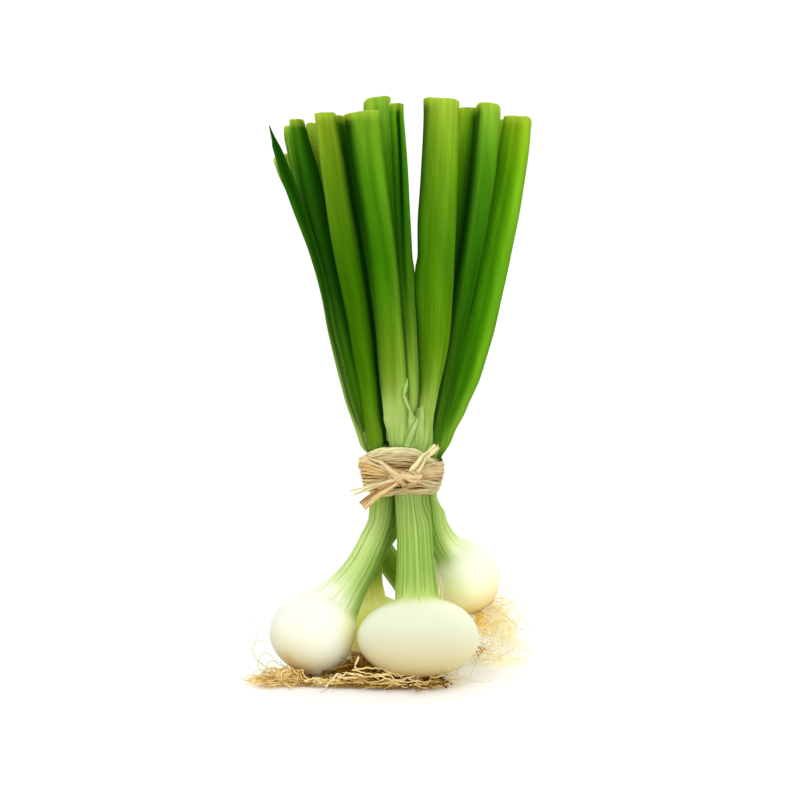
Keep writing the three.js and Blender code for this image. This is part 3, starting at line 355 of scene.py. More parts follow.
def raffia_material():
    m, nt, p = new_mat("Raffia")
    col = attr(nt, "Col").outputs['Color']
    fine = mapped_noise(nt, (70, 1.4), 4, 0.65)
    broad = mapped_noise(nt, (9, 3.0), 3, 0.5)
    c1 = mixn(nt, 'MULTIPLY', 0.95, col, ramp(nt, fine.outputs[0], [(0.3, (0.60, 0.50, 0.38)), (0.47, (0.95, 0.94, 0.92)), (0.7, (1.2, 1.18, 1.12))]))
    c2 = mixn(nt, 'MULTIPLY', 0.8, c1, ramp(nt, broad.outputs[0], [(0.32, (0.80, 0.72, 0.60)), (0.5, (1, 1, 1)), (0.7, (1.08, 1.07, 1.05))]))
    nt.links.new(c2, p.inputs['Base Color'])
    p.inputs['Roughness'].default_value = 0.55
    p.inputs['Specular IOR Level'].default_value = 0.12
    bump(nt, fine.outputs[0], 0.6, 0.0004, p)
    return m


MAT_SKIN = skin_material()
MAT_LEAF = leaf_material()
MAT_ROOT = root_material()
# the pale roots of the right tuft glow more strongly: painted light
MAT_ROOT_PALE = root_material("PaleRoot", 0.22)
MAT_RAFFIA = raffia_material()


# ------------------------------------------------------------------ camera, first
E = math.radians(6.0)
VIEW_HEIGHT = 128.0
cam = bpy.data.cameras.new("Camera")
cam.sensor_width = 36.0
cam.lens = 2105.0 / 800.0 * 36.0
cam.clip_start = 0.05
cam_ob = bpy.data.objects.new("Camera", cam)
bpy.context.scene.collection.objects.link(cam_ob)
cam_ob.location = ((0.0 + SHIFT[0]) * MM, (-1000 * math.cos(E) + SHIFT[1]) * MM, (VIEW_HEIGHT + 1000 * math.sin(E)) * MM)
cam_ob.rotation_euler = (math.pi / 2 - E, 0, 0)
bpy.context.scene.camera = cam_ob


# ------------------------------------------------------------------ onions
for o in ONIONS.values():
    sp = np.array(o['spine'], float)
    s = np.concatenate([[0], np.cumsum(np.linalg.norm(np.diff(sp[:, :3], axis=0), axis=1))])
    o['path'] = Track(np.column_stack([s, sp]))
    o['length'], o['middle'] = s[-1], s[1]
    keep = sp[sp[:, 2] > 36]
    o['site'] = Track(np.column_stack([keep[:, 2], keep[:, 0], keep[:, 1], keep[:, 3]]))
    o['site_lo'], o['site_hi'] = keep[0, 2], keep[-1, 2]
BUNDLE_TRACK = Track(BUNDLE)
LEAF_TRACKS = {}
for oname, leaves in LEAVES.items():
    for i, lf in enumerate(leaves):
        LEAF_TRACKS[f"{oname}_{i + 1}"] = Track(lf['rows'])


def onion_frame(o, s):
    at = o['path'](s)
    lo, hi = o['path'](np.maximum(0, s - 0.4)), o['path'](np.minimum(o['length'], s + 0.4))
    T = hi[:, :3] - lo[:, :3]
    T /= np.linalg.norm(T, axis=1)[:, None]
    lev = np.clip((at[:, 2] - 84) / 14, 0, 1)[:, None]
    T = T * (1 - lev) + np.array([0, 0, 1.0]) * lev
    T /= np.linalg.norm(T, axis=1)[:, None]
    U = np.array([1.0, 0, 0]) - T * T[:, :1]
    U /= np.linalg.norm(U, axis=1)[:, None]
    return at, T, U, np.cross(T, U)


def onion_radius(o, s):
    b = o['bulb']
    e = np.where(s < o['middle'], (o['middle'] - s) / b['below'], (s - o['middle']) / b['above'])
    ell = b['radius'] * np.sqrt(np.clip(1 - e * e, 0, None))
    neck = np.where(s < o['middle'], 0, o['path'](s)[:, 3])
    return (ell ** b['blend'] + neck ** b['blend']) ** (1 / b['blend'])


def reach(name, at, D, most):
    """Largest reach from the spine before a neighbour's share of the bundle begins (arrays)."""
    o = ONIONS[name]

    def blocked(r):
        P = at[:, :3] + D * r[:, None]
        x, y, z = P.T
        fx, fy = x - TIE_CENTRE[0], y - TIE_CENTRE[1]
        off = np.hypot(fx, fy) + 1e-9
        lift = np.where(z < 96.8, 0, 3.2 * 1.1 * np.maximum(0, -fy / off) ** 2 * np.clip((z - 96.8) / 6.4, 0, 1))
        bad = (z > 60) & (z < 112) & (off > BUNDLE_TRACK(z - lift)[:, 0] - GAP)
        c = o['site'](z)
        own = (x - c[:, 0]) ** 2 + (y - c[:, 1]) ** 2 - c[:, 2] ** 2
        for other, q in ONIONS.items():
            if other == name:
                continue
            ok = (z >= q['site_lo']) & (z <= q['site_hi'] + 1)
            k = q['site'](z)
            apart = np.hypot(c[:, 0] - k[:, 0], c[:, 1] - k[:, 1])
            bad |= ok & (own + GAP * apart > (x - k[:, 0]) ** 2 + (y - k[:, 1]) ** 2 - k[:, 2] ** 2)
        return bad & (z >= o['site_lo'])
    hit = blocked(most)
    lo, hi = np.zeros_like(most), most.copy()
    for _ in range(16):
        mid = (lo + hi) / 2
        b = blocked(mid)
        hi = np.where(b, mid, hi)
        lo = np.where(b, lo, mid)
    return np.where(hit, lo, most)


def leaf_support(oname, z, x0, y0, dx, dy):
    """How far the bundle of leaf bases of one onion reaches from (x0, y0) along (dx, dy)."""
    best = np.zeros_like(x0)
    which = np.zeros(len(x0), int)
    for i, lf in enumerate(LEAVES[oname]):
        tr = LEAF_TRACKS[f"{oname}_{i + 1}"]
        zz = np.maximum(z, lf['rows'][0][0])
        c = tr(zz)
        ph = math.radians(lf['phi'])
        a, b = c[:, 2], c[:, 3]
        ox, oy = x0 - c[:, 0], y0 - c[:, 1]
        u0, w0 = ox * math.cos(ph) + oy * math.sin(ph), -ox * math.sin(ph) + oy * math.cos(ph)
        du, dw = dx * math.cos(ph) + dy * math.sin(ph), -dx * math.sin(ph) + dy * math.cos(ph)
        A = (du / a) ** 2 + (dw / b) ** 2
        B = 2 * (u0 * du / a ** 2 + w0 * dw / b ** 2)
        C = (u0 / a) ** 2 + (w0 / b) ** 2 - 1
        disc = B * B - 4 * A * C
        t = np.where(disc > 0, (-B + np.sqrt(np.maximum(disc, 0))) / (2 * A), 0)
        which = np.where(t > best, i, which)
        best = np.maximum(best, t)
    return best, which


def rib_field(theta, s, seed, count=9):
    """Ridges and grooves along the neck: -1 in a groove, +1 on a ridge."""
    r = np.random.default_rng(seed)
    out = np.zeros_like(theta)
    total = 0
    for k in range(count):
        n = [7, 11, 16, 21, 27, 34, 41, 52, 63][k]
        a = [0.5, 0.6, 0.9, 1.0, 0.9, 0.8, 0.6, 0.5, 0.4][k]
        out += a * np.sin(n * theta + r.uniform(0, 6.28) + 0.5 * np.sin(0.05 * s + r.uniform(0, 6.28)))
        total += a
    return out / (0.42 * total)


SKIN_WHITE = srgb(247, 249, 232)
SKIN_WARM = srgb(226, 205, 152)
SKIN_TAN = srgb(188, 150, 92)


def build_onion(name, seed, greens, rib_depth, sides=144, extra=None):
    """greens: rows of (distance along the spine past the widest place, r, g, b) in sRGB."""
    o = ONIONS[name]
    mid, L = o['middle'], o['length']
    lower = mid * (1 - np.cos(np.linspace(0, math.pi / 2, 26)))
    bulb_up = mid + np.linspace(0, o['bulb']['above'] * 1.15, 34)[1:]
    rest = np.linspace(bulb_up[-1], L, max(30, int((L - bulb_up[-1]) / 0.85)))[1:]
    ss = np.concatenate([lower, bulb_up, rest])
    n = len(ss)
    th = np.arange(sides) * 2 * math.pi / sides
    S, TH = np.repeat(ss, sides), np.tile(th, n)
    at, T, U, W = onion_frame(o, S)
    full = onion_radius(o, S)
    st = at[:, 4]
    c, w = np.cos(TH) * (1 + st), np.sin(TH) * (1 - st)
    r = full * np.hypot(c, w)
    ang = np.arctan2(w, c)
    D = U * np.cos(ang)[:, None] + W * np.sin(ang)[:, None]
    z = at[:, 2]
    up = z > 36
    limit = reach(name, at, D, r * 1.7)
    r = np.where(up, (r ** -9.0 + limit ** -9.0) ** (-1 / 9.0), r)
    # at its top the neck takes the outline of the leaves that leave it
    z_top = o['spine'][-1][2]
    t = smooth(z_top - 9, z_top - 0.5, z)
    sup, which = leaf_support(name, np.minimum(z, z_top), at[:, 0], at[:, 1], D[:, 0], D[:, 1])
    sup = np.where(sup > 0, sup + 0.12, r)
    if name != 'front':
        sup = np.minimum(sup, limit)
    r = r * (1 - t) + np.maximum(sup, 0.55 * r) * t
    # ribs on the neck, soft lobes on the bulb
    past = S - mid
    above = o['bulb']['above']
    neckness = smooth(above * 0.80, above * 1.25, past)
    ribs = rib_field(TH, S, seed)
    lobes = ripple(TH, seed + 50, [2, 3, 5], [0.6, 0.5, 0.25]) * smooth(0, 0.5, np.sin(np.clip(S / (mid + above), 0, 1) * math.pi))
    r = r + neckness * rib_depth * ribs * (1 - 0.7 * t) + (1 - neckness) * 0.22 * lobes * (full / o['bulb']['radius'])
    # faint meridian grooves running down the shoulder
    r = r + (1 - neckness) * 0.02 * ribs * smooth(0.2, 1.0, past / above)
    P = at[:, :3] + D * r[:, None]
    if name == 'rear':
        # the bulb turns off its neck sharply: ease the crease on the inside of the turn
        Q = P.reshape(n, sides, 3).copy()
        k = int(np.searchsorted(ss, mid + above * 1.3))
        hold = np.interp(np.arange(n), [2, 8, k - 6, k], [0, 1, 1, 0])[1:-1, None, None] * 0.5
        for _ in range(55):
            Q[1:-1] += hold * ((Q[:-2] + Q[2:]) * 0.5 - Q[1:-1])
        P = Q.reshape(-1, 3)
    top_c = o['path'](np.array([L]))[0, :3]
    base_c = o['path'](np.array([0.0]))[0, :3]
    # a tapering collar carries on up under the leaves, so they seem to grow out of it
    collar = []
    dz = np.array([0.8, 1.6, 2.5, 3.5, 4.6, 5.8])
    inset = np.array([0.05, 0.12, 0.25, 0.45, 0.75, 1.2])
    last = r[-sides:]
    Dt = D[-sides:]
    for h, k in zip(dz, inset):
        sp_, _ = leaf_support(name, np.full(sides, z_top + h), np.full(sides, top_c[0]), np.full(sides, top_c[1]), Dt[:, 0], Dt[:, 1])
        rr = np.maximum(np.where(sp_ > 0, sp_, last) - k, 0.35 * last)
        rr = np.minimum(rr, last * (1 + 0.03 * h))
        flat = np.column_stack([Dt[:, :2], np.zeros(sides)])
        collar.append(top_c + flat * rr[:, None] + np.array([0, 0, h]) * (1 + 0.12 * np.sin(3 * th + seed))[:, None])
    P = np.concatenate([P] + collar)
    if name == 'front':
        dx = P[:, 0] - top_c[0]
        facing = smooth(-2.0, -6.0, P[:, 1] - top_c[1])
        fall = np.interp(dx, [-4.2, -3.2, 3.2, 4.6, 6.0], [0.0, 2.4, -5.2, -6.0, 0.0])
        P[:, 2] += fall * facing * smooth(z_top - 9, z_top + 2, P[:, 2])
    n_all = n + len(dz)
    verts = P.tolist()
    faces = grid_faces(n_all, sides)
    i0 = len(verts)
    verts.append(base_c.tolist())
    faces += [(i0, (j + 1) % sides, j) for j in range(sides)]
    i1 = len(verts)
    verts.append((top_c + np.array([0, 0, 1.0])).tolist())
    off = (n_all - 1) * sides
    faces += [(off + j, off + (j + 1) % sides, i1) for j in range(sides)]
    # colour along the spine
    shade = past + 1.5 * ribs * smooth(0.4, 0.9, past / above) * smooth(above * 2.2, above * 1.2, past)
    g = np.array(greens, float)
    srg = np.stack([np.interp(shade, g[:, 0], g[:, k]) for k in (1, 2, 3)])
    # side shading painted on some necks: (angle, half width, gain)
    for (pa, pw, gain) in PAINT.get(name, []):
        dd = np.abs((TH - math.radians(pa) + math.pi) % (2 * math.pi) - math.pi) / math.radians(pw)
        f = 1 + (gain - 1) * np.exp(-dd ** 2) * smooth(above * 0.75, above * 1.15, past)
        srg = srg * np.stack([f ** 1.15, f ** 0.75, f ** 1.9])
    # up at the leaves the skin takes the colour of the blade it passes into
    base_cols = np.array([LOOK[f"{name}_{i + 1}"]['c'][0] for i in range(len(LEAVES[name]))], float)
    lead = 12 if name == 'front' else 5
    tt = smooth(z_top - lead, z_top - 1, z)
    srg = srg * (1 - tt) + base_cols[which].T * tt
    col = srgb(*srg.clip(0, 255)).T
    # light passed between neighbouring bulbs is warm
    warm = np.zeros(len(S))
    Pn = D * 0.85 + (T * np.clip(past / above, -1, 1)[:, None]) * 0.5
    Pn /= np.linalg.norm(Pn, axis=1)[:, None]
    for other, q in ONIONS.items():
        if other == name:
            continue
        qc = np.array(q['spine'][1][:3], float)
        to = qc - P[:len(S)]
        dist = np.linalg.norm(to, axis=1)
        face = np.clip((Pn * to).sum(1) / dist, 0, 1)
        warm = np.maximum(warm, face * np.clip(q['bulb']['radius'] * 1.05 / dist, 0, 1) ** 2)
    warm = smooth(0.12, 0.75, warm) * smooth(above * 1.5, above * 0.6, past)
    col = col * (1 + warm[:, None] * (np.array([1.0, 0.97, 0.70]) - 1))
    # tan round the root plate: partly its own colour, partly painted shade and warm light bounced up from the roots
    spots = 0.8 * ripple(TH, seed + 9, [5, 9, 14], [0.5, 0.4, 0.3])
    col = mixc(col, SKIN_TAN, (0.5 if name in ('front', 'front_left') else 0.8) * smooth(5.0, 0.5, S + spots))
    col = col * (1 + (0.24 if name == 'front' else 0.17) * neckness * ribs * (1 - 0.75 * smooth(z_top - 9, z_top - 1, z)))[:, None]
    col = col * (1 - 0.10 * smooth(z_top - 8, z_top - 2, z))[:, None]
    # bulbs that stand against one another: the near one is lit on its right, the far one takes a tan glow on its left
    round_ = smooth(above * 1.1, above * 0.4, past)
    if name == 'front':
        col = col * (1 + 0.10 * smooth(0.35, 0.95, D[:, 0]) * round_)[:, None]
    if name == 'right':
        col = col * (1 + np.array([0.14, 0.03, 0.16]) * (smooth(-0.1, -0.85, D[:, 0]) * round_)[:, None])
    if name == 'rear_left':
        cream = srgb(*np.stack([np.interp(past, [-14, -6, 4, 14, 20], [a, b, c_, d_, e_]) for a, b, c_, d_, e_ in ((214, 238, 244, 240, 214), (196, 232, 243, 242, 226), (140, 190, 214, 200, 150))])).T
        back = 0.85 * smooth(-0.3, 0.25, D[:, 1]) * round_
        col = mixc(col, cream, back)
    # painted shade: the left bulb is darker on its left side
    if name == 'front_left':
        col = col * (1 - np.array([0.19, 0.17, 0.08]) * (smooth(0.45, 0.98, -D[:, 0]) * round_)[:, None])
    green = smooth(above * 0.62, above * 1.1, past) * (1 - 0.6 * smooth(z_top - 8, z_top, z))
    ccol = 0.90 * np.tile(srgb(*base_cols[which[-sides:]].T).T, (len(dz), 1))
    # painted shade: on the left and rear onions the collar darkens towards +x, a shadow wedge between the leaves
    if name in ('front_left', 'rear'):
        ccol = ccol * (1 - 0.85 * smooth(0.0, 0.6, np.tile(Dt[:, 0], len(dz))))[:, None]
    col = np.concatenate([col, ccol, SKIN_TAN[None], srgb(90, 110, 40)[None]])
    green = np.concatenate([green, np.full(len(ccol), 0.4), [0, 1]])
    S_all = np.concatenate([S, np.repeat(L + dz, sides)])
    uv = np.stack([np.tile(th / (2 * math.pi), n_all), S_all / 100], 1)
    uv = np.concatenate([uv, [[0.5, 0], [0.5, L / 100 + 0.05]]])
    if extra:
        for (ev, ef, ec) in extra:
            o0 = len(verts)
            verts += ev.tolist()
            faces += [tuple(i + o0 for i in f) for f in ef]
            col = np.concatenate([col, ec])
            green = np.concatenate([green, np.zeros(len(ev))])
            uv = np.concatenate([uv, np.stack([np.linspace(0, 0.1, len(ev)), np.linspace(0, 0.3, len(ev))], 1)])
    ob = make_mesh(f"skin_{name}", verts, faces, MAT_SKIN, uv=uv, attrs={"Col": col, "Green": green})
    return finish_piece(ob, "bulb_skin", f"onion_{name}")


# painted shade on the necks: angle round the neck (0 = +x, 270 = front), half width, gain
PAINT = {
    'front': [(200, 26, 0.90), (345, 22, 0.90), (0, 30, 0.9)],
    'front_left': [(330, 34, 0.86), (20, 50, 0.70), (240, 26, 1.05)],
    'right': [(215, 42, 0.70), (262, 20, 0.88), (320, 26, 1.06)],
    'rear_left': [(330, 50, 0.92)],
    'rear': [(270, 60, 0.80)],
}


def strip(path, out, width, colour, thick=0.25, lift=0.1, soft=None):
    """A thin dry membrane laid on the surface. out: outward direction; soft: the colour it fades to at its edges."""
    inner = 0.6 if soft is None else 0.25
    P = np.asarray(path, float)
    n = len(P)
    T = np.gradient(P, axis=0)
    T /= np.linalg.norm(T, axis=1)[:, None]
    O = np.broadcast_to(np.asarray(out, float), P.shape)
    O = O - T * np.sum(T * O, 1)[:, None]
    O /= np.linalg.norm(O, axis=1)[:, None]
    B = np.cross(T, O)
    W = np.broadcast_to(width, n)[:, None] / 2
    a, b = P + B * W + O * (lift - thick), P + B * W * inner + O * lift
    c, d = P - B * W * inner + O * lift, P - B * W + O * (lift - thick)
    ring = np.stack([a, b, c, d], 1)
    v = ring.reshape(-1, 3)
    f = grid_faces(n, 4, 0)
    f.append((0, 1, 2, 3)[::-1])
    f.append(tuple((n - 1) * 4 + j for j in range(4)))
    cc = np.repeat(np.broadcast_to(colour, (n, 3)), 4, 0)
    if soft is not None:
        cc = cc.reshape(n, 4, 3).copy()
        cc[:, [0, 3]] = soft
        cc = cc.reshape(-1, 3)
    return v, f, cc


# colours up each onion in sRGB; towards the bottom of each bulb they turn darker and tan, partly the root plate's own
# colour and partly painted shade, and the rear left onion's bright yellow shoulder is partly painted light
G = {
    'front': [[-18.3, 182, 155, 94], [-15, 194, 171, 114], [-10.5, 203, 187, 136], [-5, 209, 201, 160], [0, 212, 213, 181], [6, 219, 224, 197], [12.5, 228, 233, 204], [15.5, 223, 233, 170], [18, 194, 216, 122], [21, 172, 200, 102], [28, 152, 184, 88], [42, 152, 184, 85], [62, 153, 179, 94], [78, 156, 183, 93], [96, 164, 190, 101], [106, 162, 188, 96]],
    'front_left': [[-17.4, 205, 186, 138], [-15.4, 211, 198, 158], [-12, 219, 213, 178], [-8, 228, 226, 200], [-3, 235, 236, 216], [6, 242, 243, 228], [15, 245, 248, 229], [22, 240, 246, 214], [27, 214, 230, 167], [33, 191, 214, 134], [42, 182, 208, 120], [52, 184, 209, 121], [62, 163, 186, 103], [72, 138, 164, 74], [95, 120, 150, 56]],
    'right': [[-17.8, 210, 178, 108], [-13, 230, 208, 140], [-7, 242, 231, 180], [0, 244, 245, 212], [10, 243, 247, 224], [16, 236, 243, 203], [22, 208, 226, 146], [30, 174, 201, 108], [45, 158, 190, 94], [60, 146, 178, 82], [80, 130, 160, 66]],
    'rear_left': [[-13.8, 214, 196, 112], [-6, 246, 240, 156], [0, 252, 248, 158], [8, 252, 250, 150], [13, 250, 246, 156], [18, 240, 228, 130], [26, 138, 156, 42], [40, 112, 142, 40], [70, 116, 146, 52], [100, 120, 150, 56]],
    'rear': [[-15.9, 196, 168, 104], [-8, 226, 214, 156], [0, 244, 244, 216], [10, 234, 240, 198], [16, 208, 222, 122], [22, 144, 174, 30], [30, 128, 156, 14], [50, 128, 158, 26], [80, 112, 142, 50], [110, 112, 142, 50]],
}


def seen(u, v, y):
    """Layout point at depth y that the camera sees at (u, v) on an 800 by 800 frame."""
    x, z = 0.0, 100.0
    for _ in range(6):
        d = (y + 994.5) * 0.9945 + (232.5 - z) * 0.1045
        x = (u - 400) * d / 2105
        z = VIEW_HEIGHT - ((v - 400) * d / 2105 + y * 0.1045) / 0.9945
    return [x, y, z]


def smooth_path(pts, n):
    p = np.array(pts, float)
    t = np.concatenate([[0], np.cumsum(np.linalg.norm(np.diff(p, axis=0), axis=1))])
    return Track(np.column_stack([t, p]))(np.linspace(0, t[-1], n))


# pale torn edge of the sheath on the front stem, its pale colour partly a painted highlight, and the dry sliver by the
# shoulder
membrane = []
flap = smooth_path([seen(407.6, 377.5, -14.6), seen(406.4, 384.5, -16.4), seen(404.9, 390.5, -17.0), seen(403.6, 396, -17.2)], 34)
membrane.append(strip(flap, (0.2, -1, 0), np.interp(np.linspace(0, 1, 34), [0, 0.35, 0.7, 1], [0.2, 2.5, 3.1, 1.9]), mixc(np.broadcast_to(srgb(160, 196, 104), (34, 3)), np.broadcast_to(srgb(152, 188, 94), (34, 3)), np.linspace(0, 1, 34)), thick=0.2, lift=0.04, soft=srgb(118, 154, 42)))
rim_line = smooth_path([seen(403.6, 395, -17.2), seen(406.6, 402.5, -16.9), seen(410.4, 411, -16.6), seen(414.2, 418.5, -17.7)], 44)
membrane.append(strip(rim_line, (0.15, -1, 0), np.interp(np.linspace(0, 1, 44), [0, 0.2, 0.7, 1], [2.0, 2.3, 2.0, 0.9]), mixc(np.broadcast_to(srgb(162, 198, 108), (44, 3)), np.broadcast_to(srgb(152, 188, 98), (44, 3)), np.linspace(0, 1, 44)), thick=0.2, lift=0.06, soft=srgb(128, 162, 60)))
low_line = smooth_path([seen(418.0, 419, -17.6), seen(414.6, 426.5, -18.4), seen(411.4, 434, -18.7), seen(406.6, 447, -18.5)], 40)
membrane.append(strip(low_line, (0.15, -1, 0), np.interp(np.linspace(0, 1, 40), [0, 0.3, 0.7, 1], [0.9, 3.2, 3.7, 3.9]), mixc(np.broadcast_to(srgb(166, 200, 112), (40, 3)), np.broadcast_to(srgb(146, 180, 84), (40, 3)), smooth(0.2, 0.9, np.linspace(0, 1, 40))), thick=0.2, lift=0.04, soft=srgb(140, 174, 78)))
sl = smooth_path([seen(441.0, 574.5, -20), seen(440.4, 583, -22), seen(438.6, 592, -25), seen(437.0, 601, -28)], 34)
slc = mixc(np.broadcast_to(srgb(238, 234, 176), (34, 3)), np.broadcast_to(srgb(120, 120, 60), (34, 3)), smooth(0.14, 0.0, np.linspace(0, 1, 34)))
membrane.append(strip(sl, (0.2, -1, 0), np.interp(np.linspace(0, 1, 34), [0, 0.12, 0.6, 1], [0.35, 0.3, 0.95, 1.5]), slc, thick=0.3, lift=0.0))
sl = smooth_path([seen(443.2, 584, -22), seen(442.4, 592, -25), seen(441.6, 601, -28)], 24)
membrane.append(strip(sl, (0.2, -1, 0), np.interp(np.linspace(0, 1, 24), [0, 0.6, 1], [0.2, 0.6, 1.0]), srgb(226, 232, 160), thick=0.3, lift=0.0))
# ------------------------------------------------------------------ leaves
# colours up each leaf (sRGB at the base, low, middle, high, tip), partly painted light and shade: a leaf that stands
# in shade, such as rear_3, is painted dark, and the foot of front_2 is painted lighter; k: creases (place, height,
# width);
# b: painted bands of shade and highlight (place at the top, place at the base, half width, gain at the top, gain at
# the base)
LOOK = {
    'front_left_1': dict(c=[(152, 176, 88), (118, 152, 56), (50, 100, 12), (34, 88, 5), (32, 82, 5)], k=[], b=[(-0.9, -0.9, 0.35, 0.7, 0.6), (0.1, 0.0, 0.12, 1.2, 1.45), (0.6, 0.5, 0.16, 0.8, 0.62)]),
    'front_left_2': dict(c=[(120, 146, 60), (62, 110, 16), (34, 84, 6), (48, 106, 8), (104, 156, 32)], k=[(0.1, 0.5, 0.3)], b=[(-0.7, -0.7, 0.25, 1.25, 1.1)]),
    'front_left_3': dict(c=[(92, 140, 26), (60, 118, 4), (24, 70, 2), (28, 80, 2), (54, 106, 2)], k=[(0.2, 0.4, 0.3)], b=[(-0.85, -0.8, 0.16, 1.4, 1.1), (0.75, 0.7, 0.4, 0.66, 0.55), (-0.1, -0.2, 0.25, 1.15, 1.2)]),
    'front_left_4': dict(c=[(96, 130, 24), (62, 106, 2), (54, 100, 2), (98, 134, 18), (134, 158, 34)], k=[(0.3, 0.3, 0.35)], b=[(-0.85, -0.9, 0.2, 1.2, 0.8), (0.9, 0.85, 0.25, 0.8, 0.85), (0.2, 0.3, 0.2, 0.93, 1.08)]),
    'front_1': dict(c=[(170, 196, 104), (106, 140, 26), (58, 116, 4), (84, 138, 16), (112, 156, 34)], k=[(-0.45, 0.5, 0.25), (0.35, 0.4, 0.35)], b=[(-0.85, -1.0, 0.38, 0.32, 0.75), (0.7, 0.6, 0.25, 1.12, 1.16), (0.15, 0.1, 0.16, 0.9, 0.9)]),
    'front_2': dict(c=[(178, 208, 102), (148, 192, 58), (72, 143, 11), (72, 144, 14), (104, 168, 20)], k=[], b=[(-0.25, -0.95, 0.26, 0.22, 0.95), (0.6, 0.1, 0.25, 1.12, 1.25), (1.0, 0.9, 0.38, 1.1, 0.10)]),
    'front_3': dict(c=[(150, 178, 78), (81, 124, 9), (66, 118, 6), (108, 150, 24), (156, 182, 54)], k=[(0.15, -0.3, 0.22)], b=[(-1.0, -1.25, 0.42, 0.52, 0.42), (0.45, 0.2, 0.22, 1.12, 1.12), (-0.3, -0.3, 0.15, 0.95, 0.92), (0.98, 0.95, 0.1, 1.0, 1.25)]),
    'right_1': dict(c=[(70, 112, 22), (50, 94, 8), (42, 98, 6), (78, 139, 18), (146, 192, 56)], k=[(-0.2, 0.4, 0.3)], b=[(-0.95, -0.95, 0.26, 0.5, 0.85), (-0.3, -0.35, 0.14, 1.1, 1.2), (0.4, 0.5, 0.3, 0.95, 0.85)]),
    'right_2': dict(c=[(112, 156, 38), (80, 145, 8), (84, 153, 8), (104, 166, 8), (158, 190, 23)], k=[(0.34, 0.9, 0.30)], b=[(-0.66, -0.66, 0.34, 0.76, 0.74), (-0.12, -0.12, 0.24, 0.76, 0.72), (0.56, 0.56, 0.34, 1.26, 1.26)]),
    'right_3': dict(c=[(70, 118, 16), (60, 112, 10), (66, 118, 12), (84, 134, 20), (140, 172, 50)], k=[(0.0, 0.5, 0.3)], b=[(0.5, 0.5, 0.3, 0.7, 0.7)]),
    'rear_left_1': dict(c=[(70, 110, 20), (50, 104, 10), (56, 118, 10), (80, 140, 20), (148, 196, 60)], k=[(-0.2, 0.5, 0.3)], b=[(-0.3, -0.3, 0.3, 1.1, 1.1), (0.85, 0.8, 0.3, 0.98, 0.9)]),
    'rear_left_2': dict(c=[(70, 110, 20), (38, 84, 7), (46, 104, 7), (86, 138, 10), (136, 176, 30)], k=[(0.3, 0.5, 0.3)], b=[(0.75, 0.6, 0.5, 0.30, 0.35)]),
    'rear_left_3': dict(c=[(70, 110, 20), (48, 94, 10), (56, 106, 12), (76, 124, 20), (130, 166, 44)], k=[(0.0, 0.6, 0.3)], b=[(-0.5, -0.5, 0.3, 0.7, 0.7)]),
    'rear_1': dict(c=[(120, 140, 60), (84, 116, 30), (78, 128, 28), (112, 150, 52), (168, 190, 98)], k=[(0.0, 0.4, 0.3)], b=[(-0.9, -0.9, 0.25, 1.3, 0.62), (0.0, -0.1, 0.12, 0.8, 1.3)]),
    'rear_2': dict(c=[(100, 134, 36), (70, 112, 16), (80, 122, 20), (120, 156, 32), (172, 200, 62)], k=[(0.0, 0.4, 0.3)], b=[(0.6, 0.6, 0.3, 0.75, 0.7)]),
    'rear_3': dict(c=[(70, 110, 20), (26, 66, 4), (20, 58, 2), (24, 66, 2), (46, 98, 6)], k=[], b=[(0.0, 0.0, 0.3, 0.75, 0.75)]),
    'rear_4': dict(c=[(70, 110, 20), (48, 94, 10), (56, 106, 12), (76, 124, 20), (130, 166, 44)], k=[(0.2, 0.6, 0.3)], b=[(0.4, 0.4, 0.3, 0.7, 0.7)]),
}
# how far the corners of each cut are worn down (left, right), mm
CORNERS = {'rear_1': (1.8, 0.5), 'rear_left_1': (2.0, 1.2), 'right_1': (2.2, 2.0), 'right_2': (0.6, 2.4), 'front_3': (1.0, 1.2), 'front_1': (0.6, 0.5), 'front_left_4': (0.5, 1.2), 'front_left_3': (0.8, 1.2)}
# extra reach of the left and right edges where a leaf spreads: rows of height, left, right
SPREAD = {'front_3': [[120, 0, 0], [165, 0.3, 0], [180, 1.4, 0], [191, 1.3, 0], [197, 0.2, 0], [260, 0, 0]],
          'front_2': [[120, 0, 0], [165, 0, 0.4], [180, 0, 0.9], [190, 0, 0.8], [196, 0, 0.0], [260, 0, 0]]}


build_onion('front', 3, G['front'], 0.30, extra=membrane)
build_onion('front_left', 11, G['front_left'], 0.20)
build_onion('right', 23, G['right'], 0.18)
build_onion('rear_left', 31, G['rear_left'], 0.16)
build_onion('rear', 43, G['rear'], 0.16)


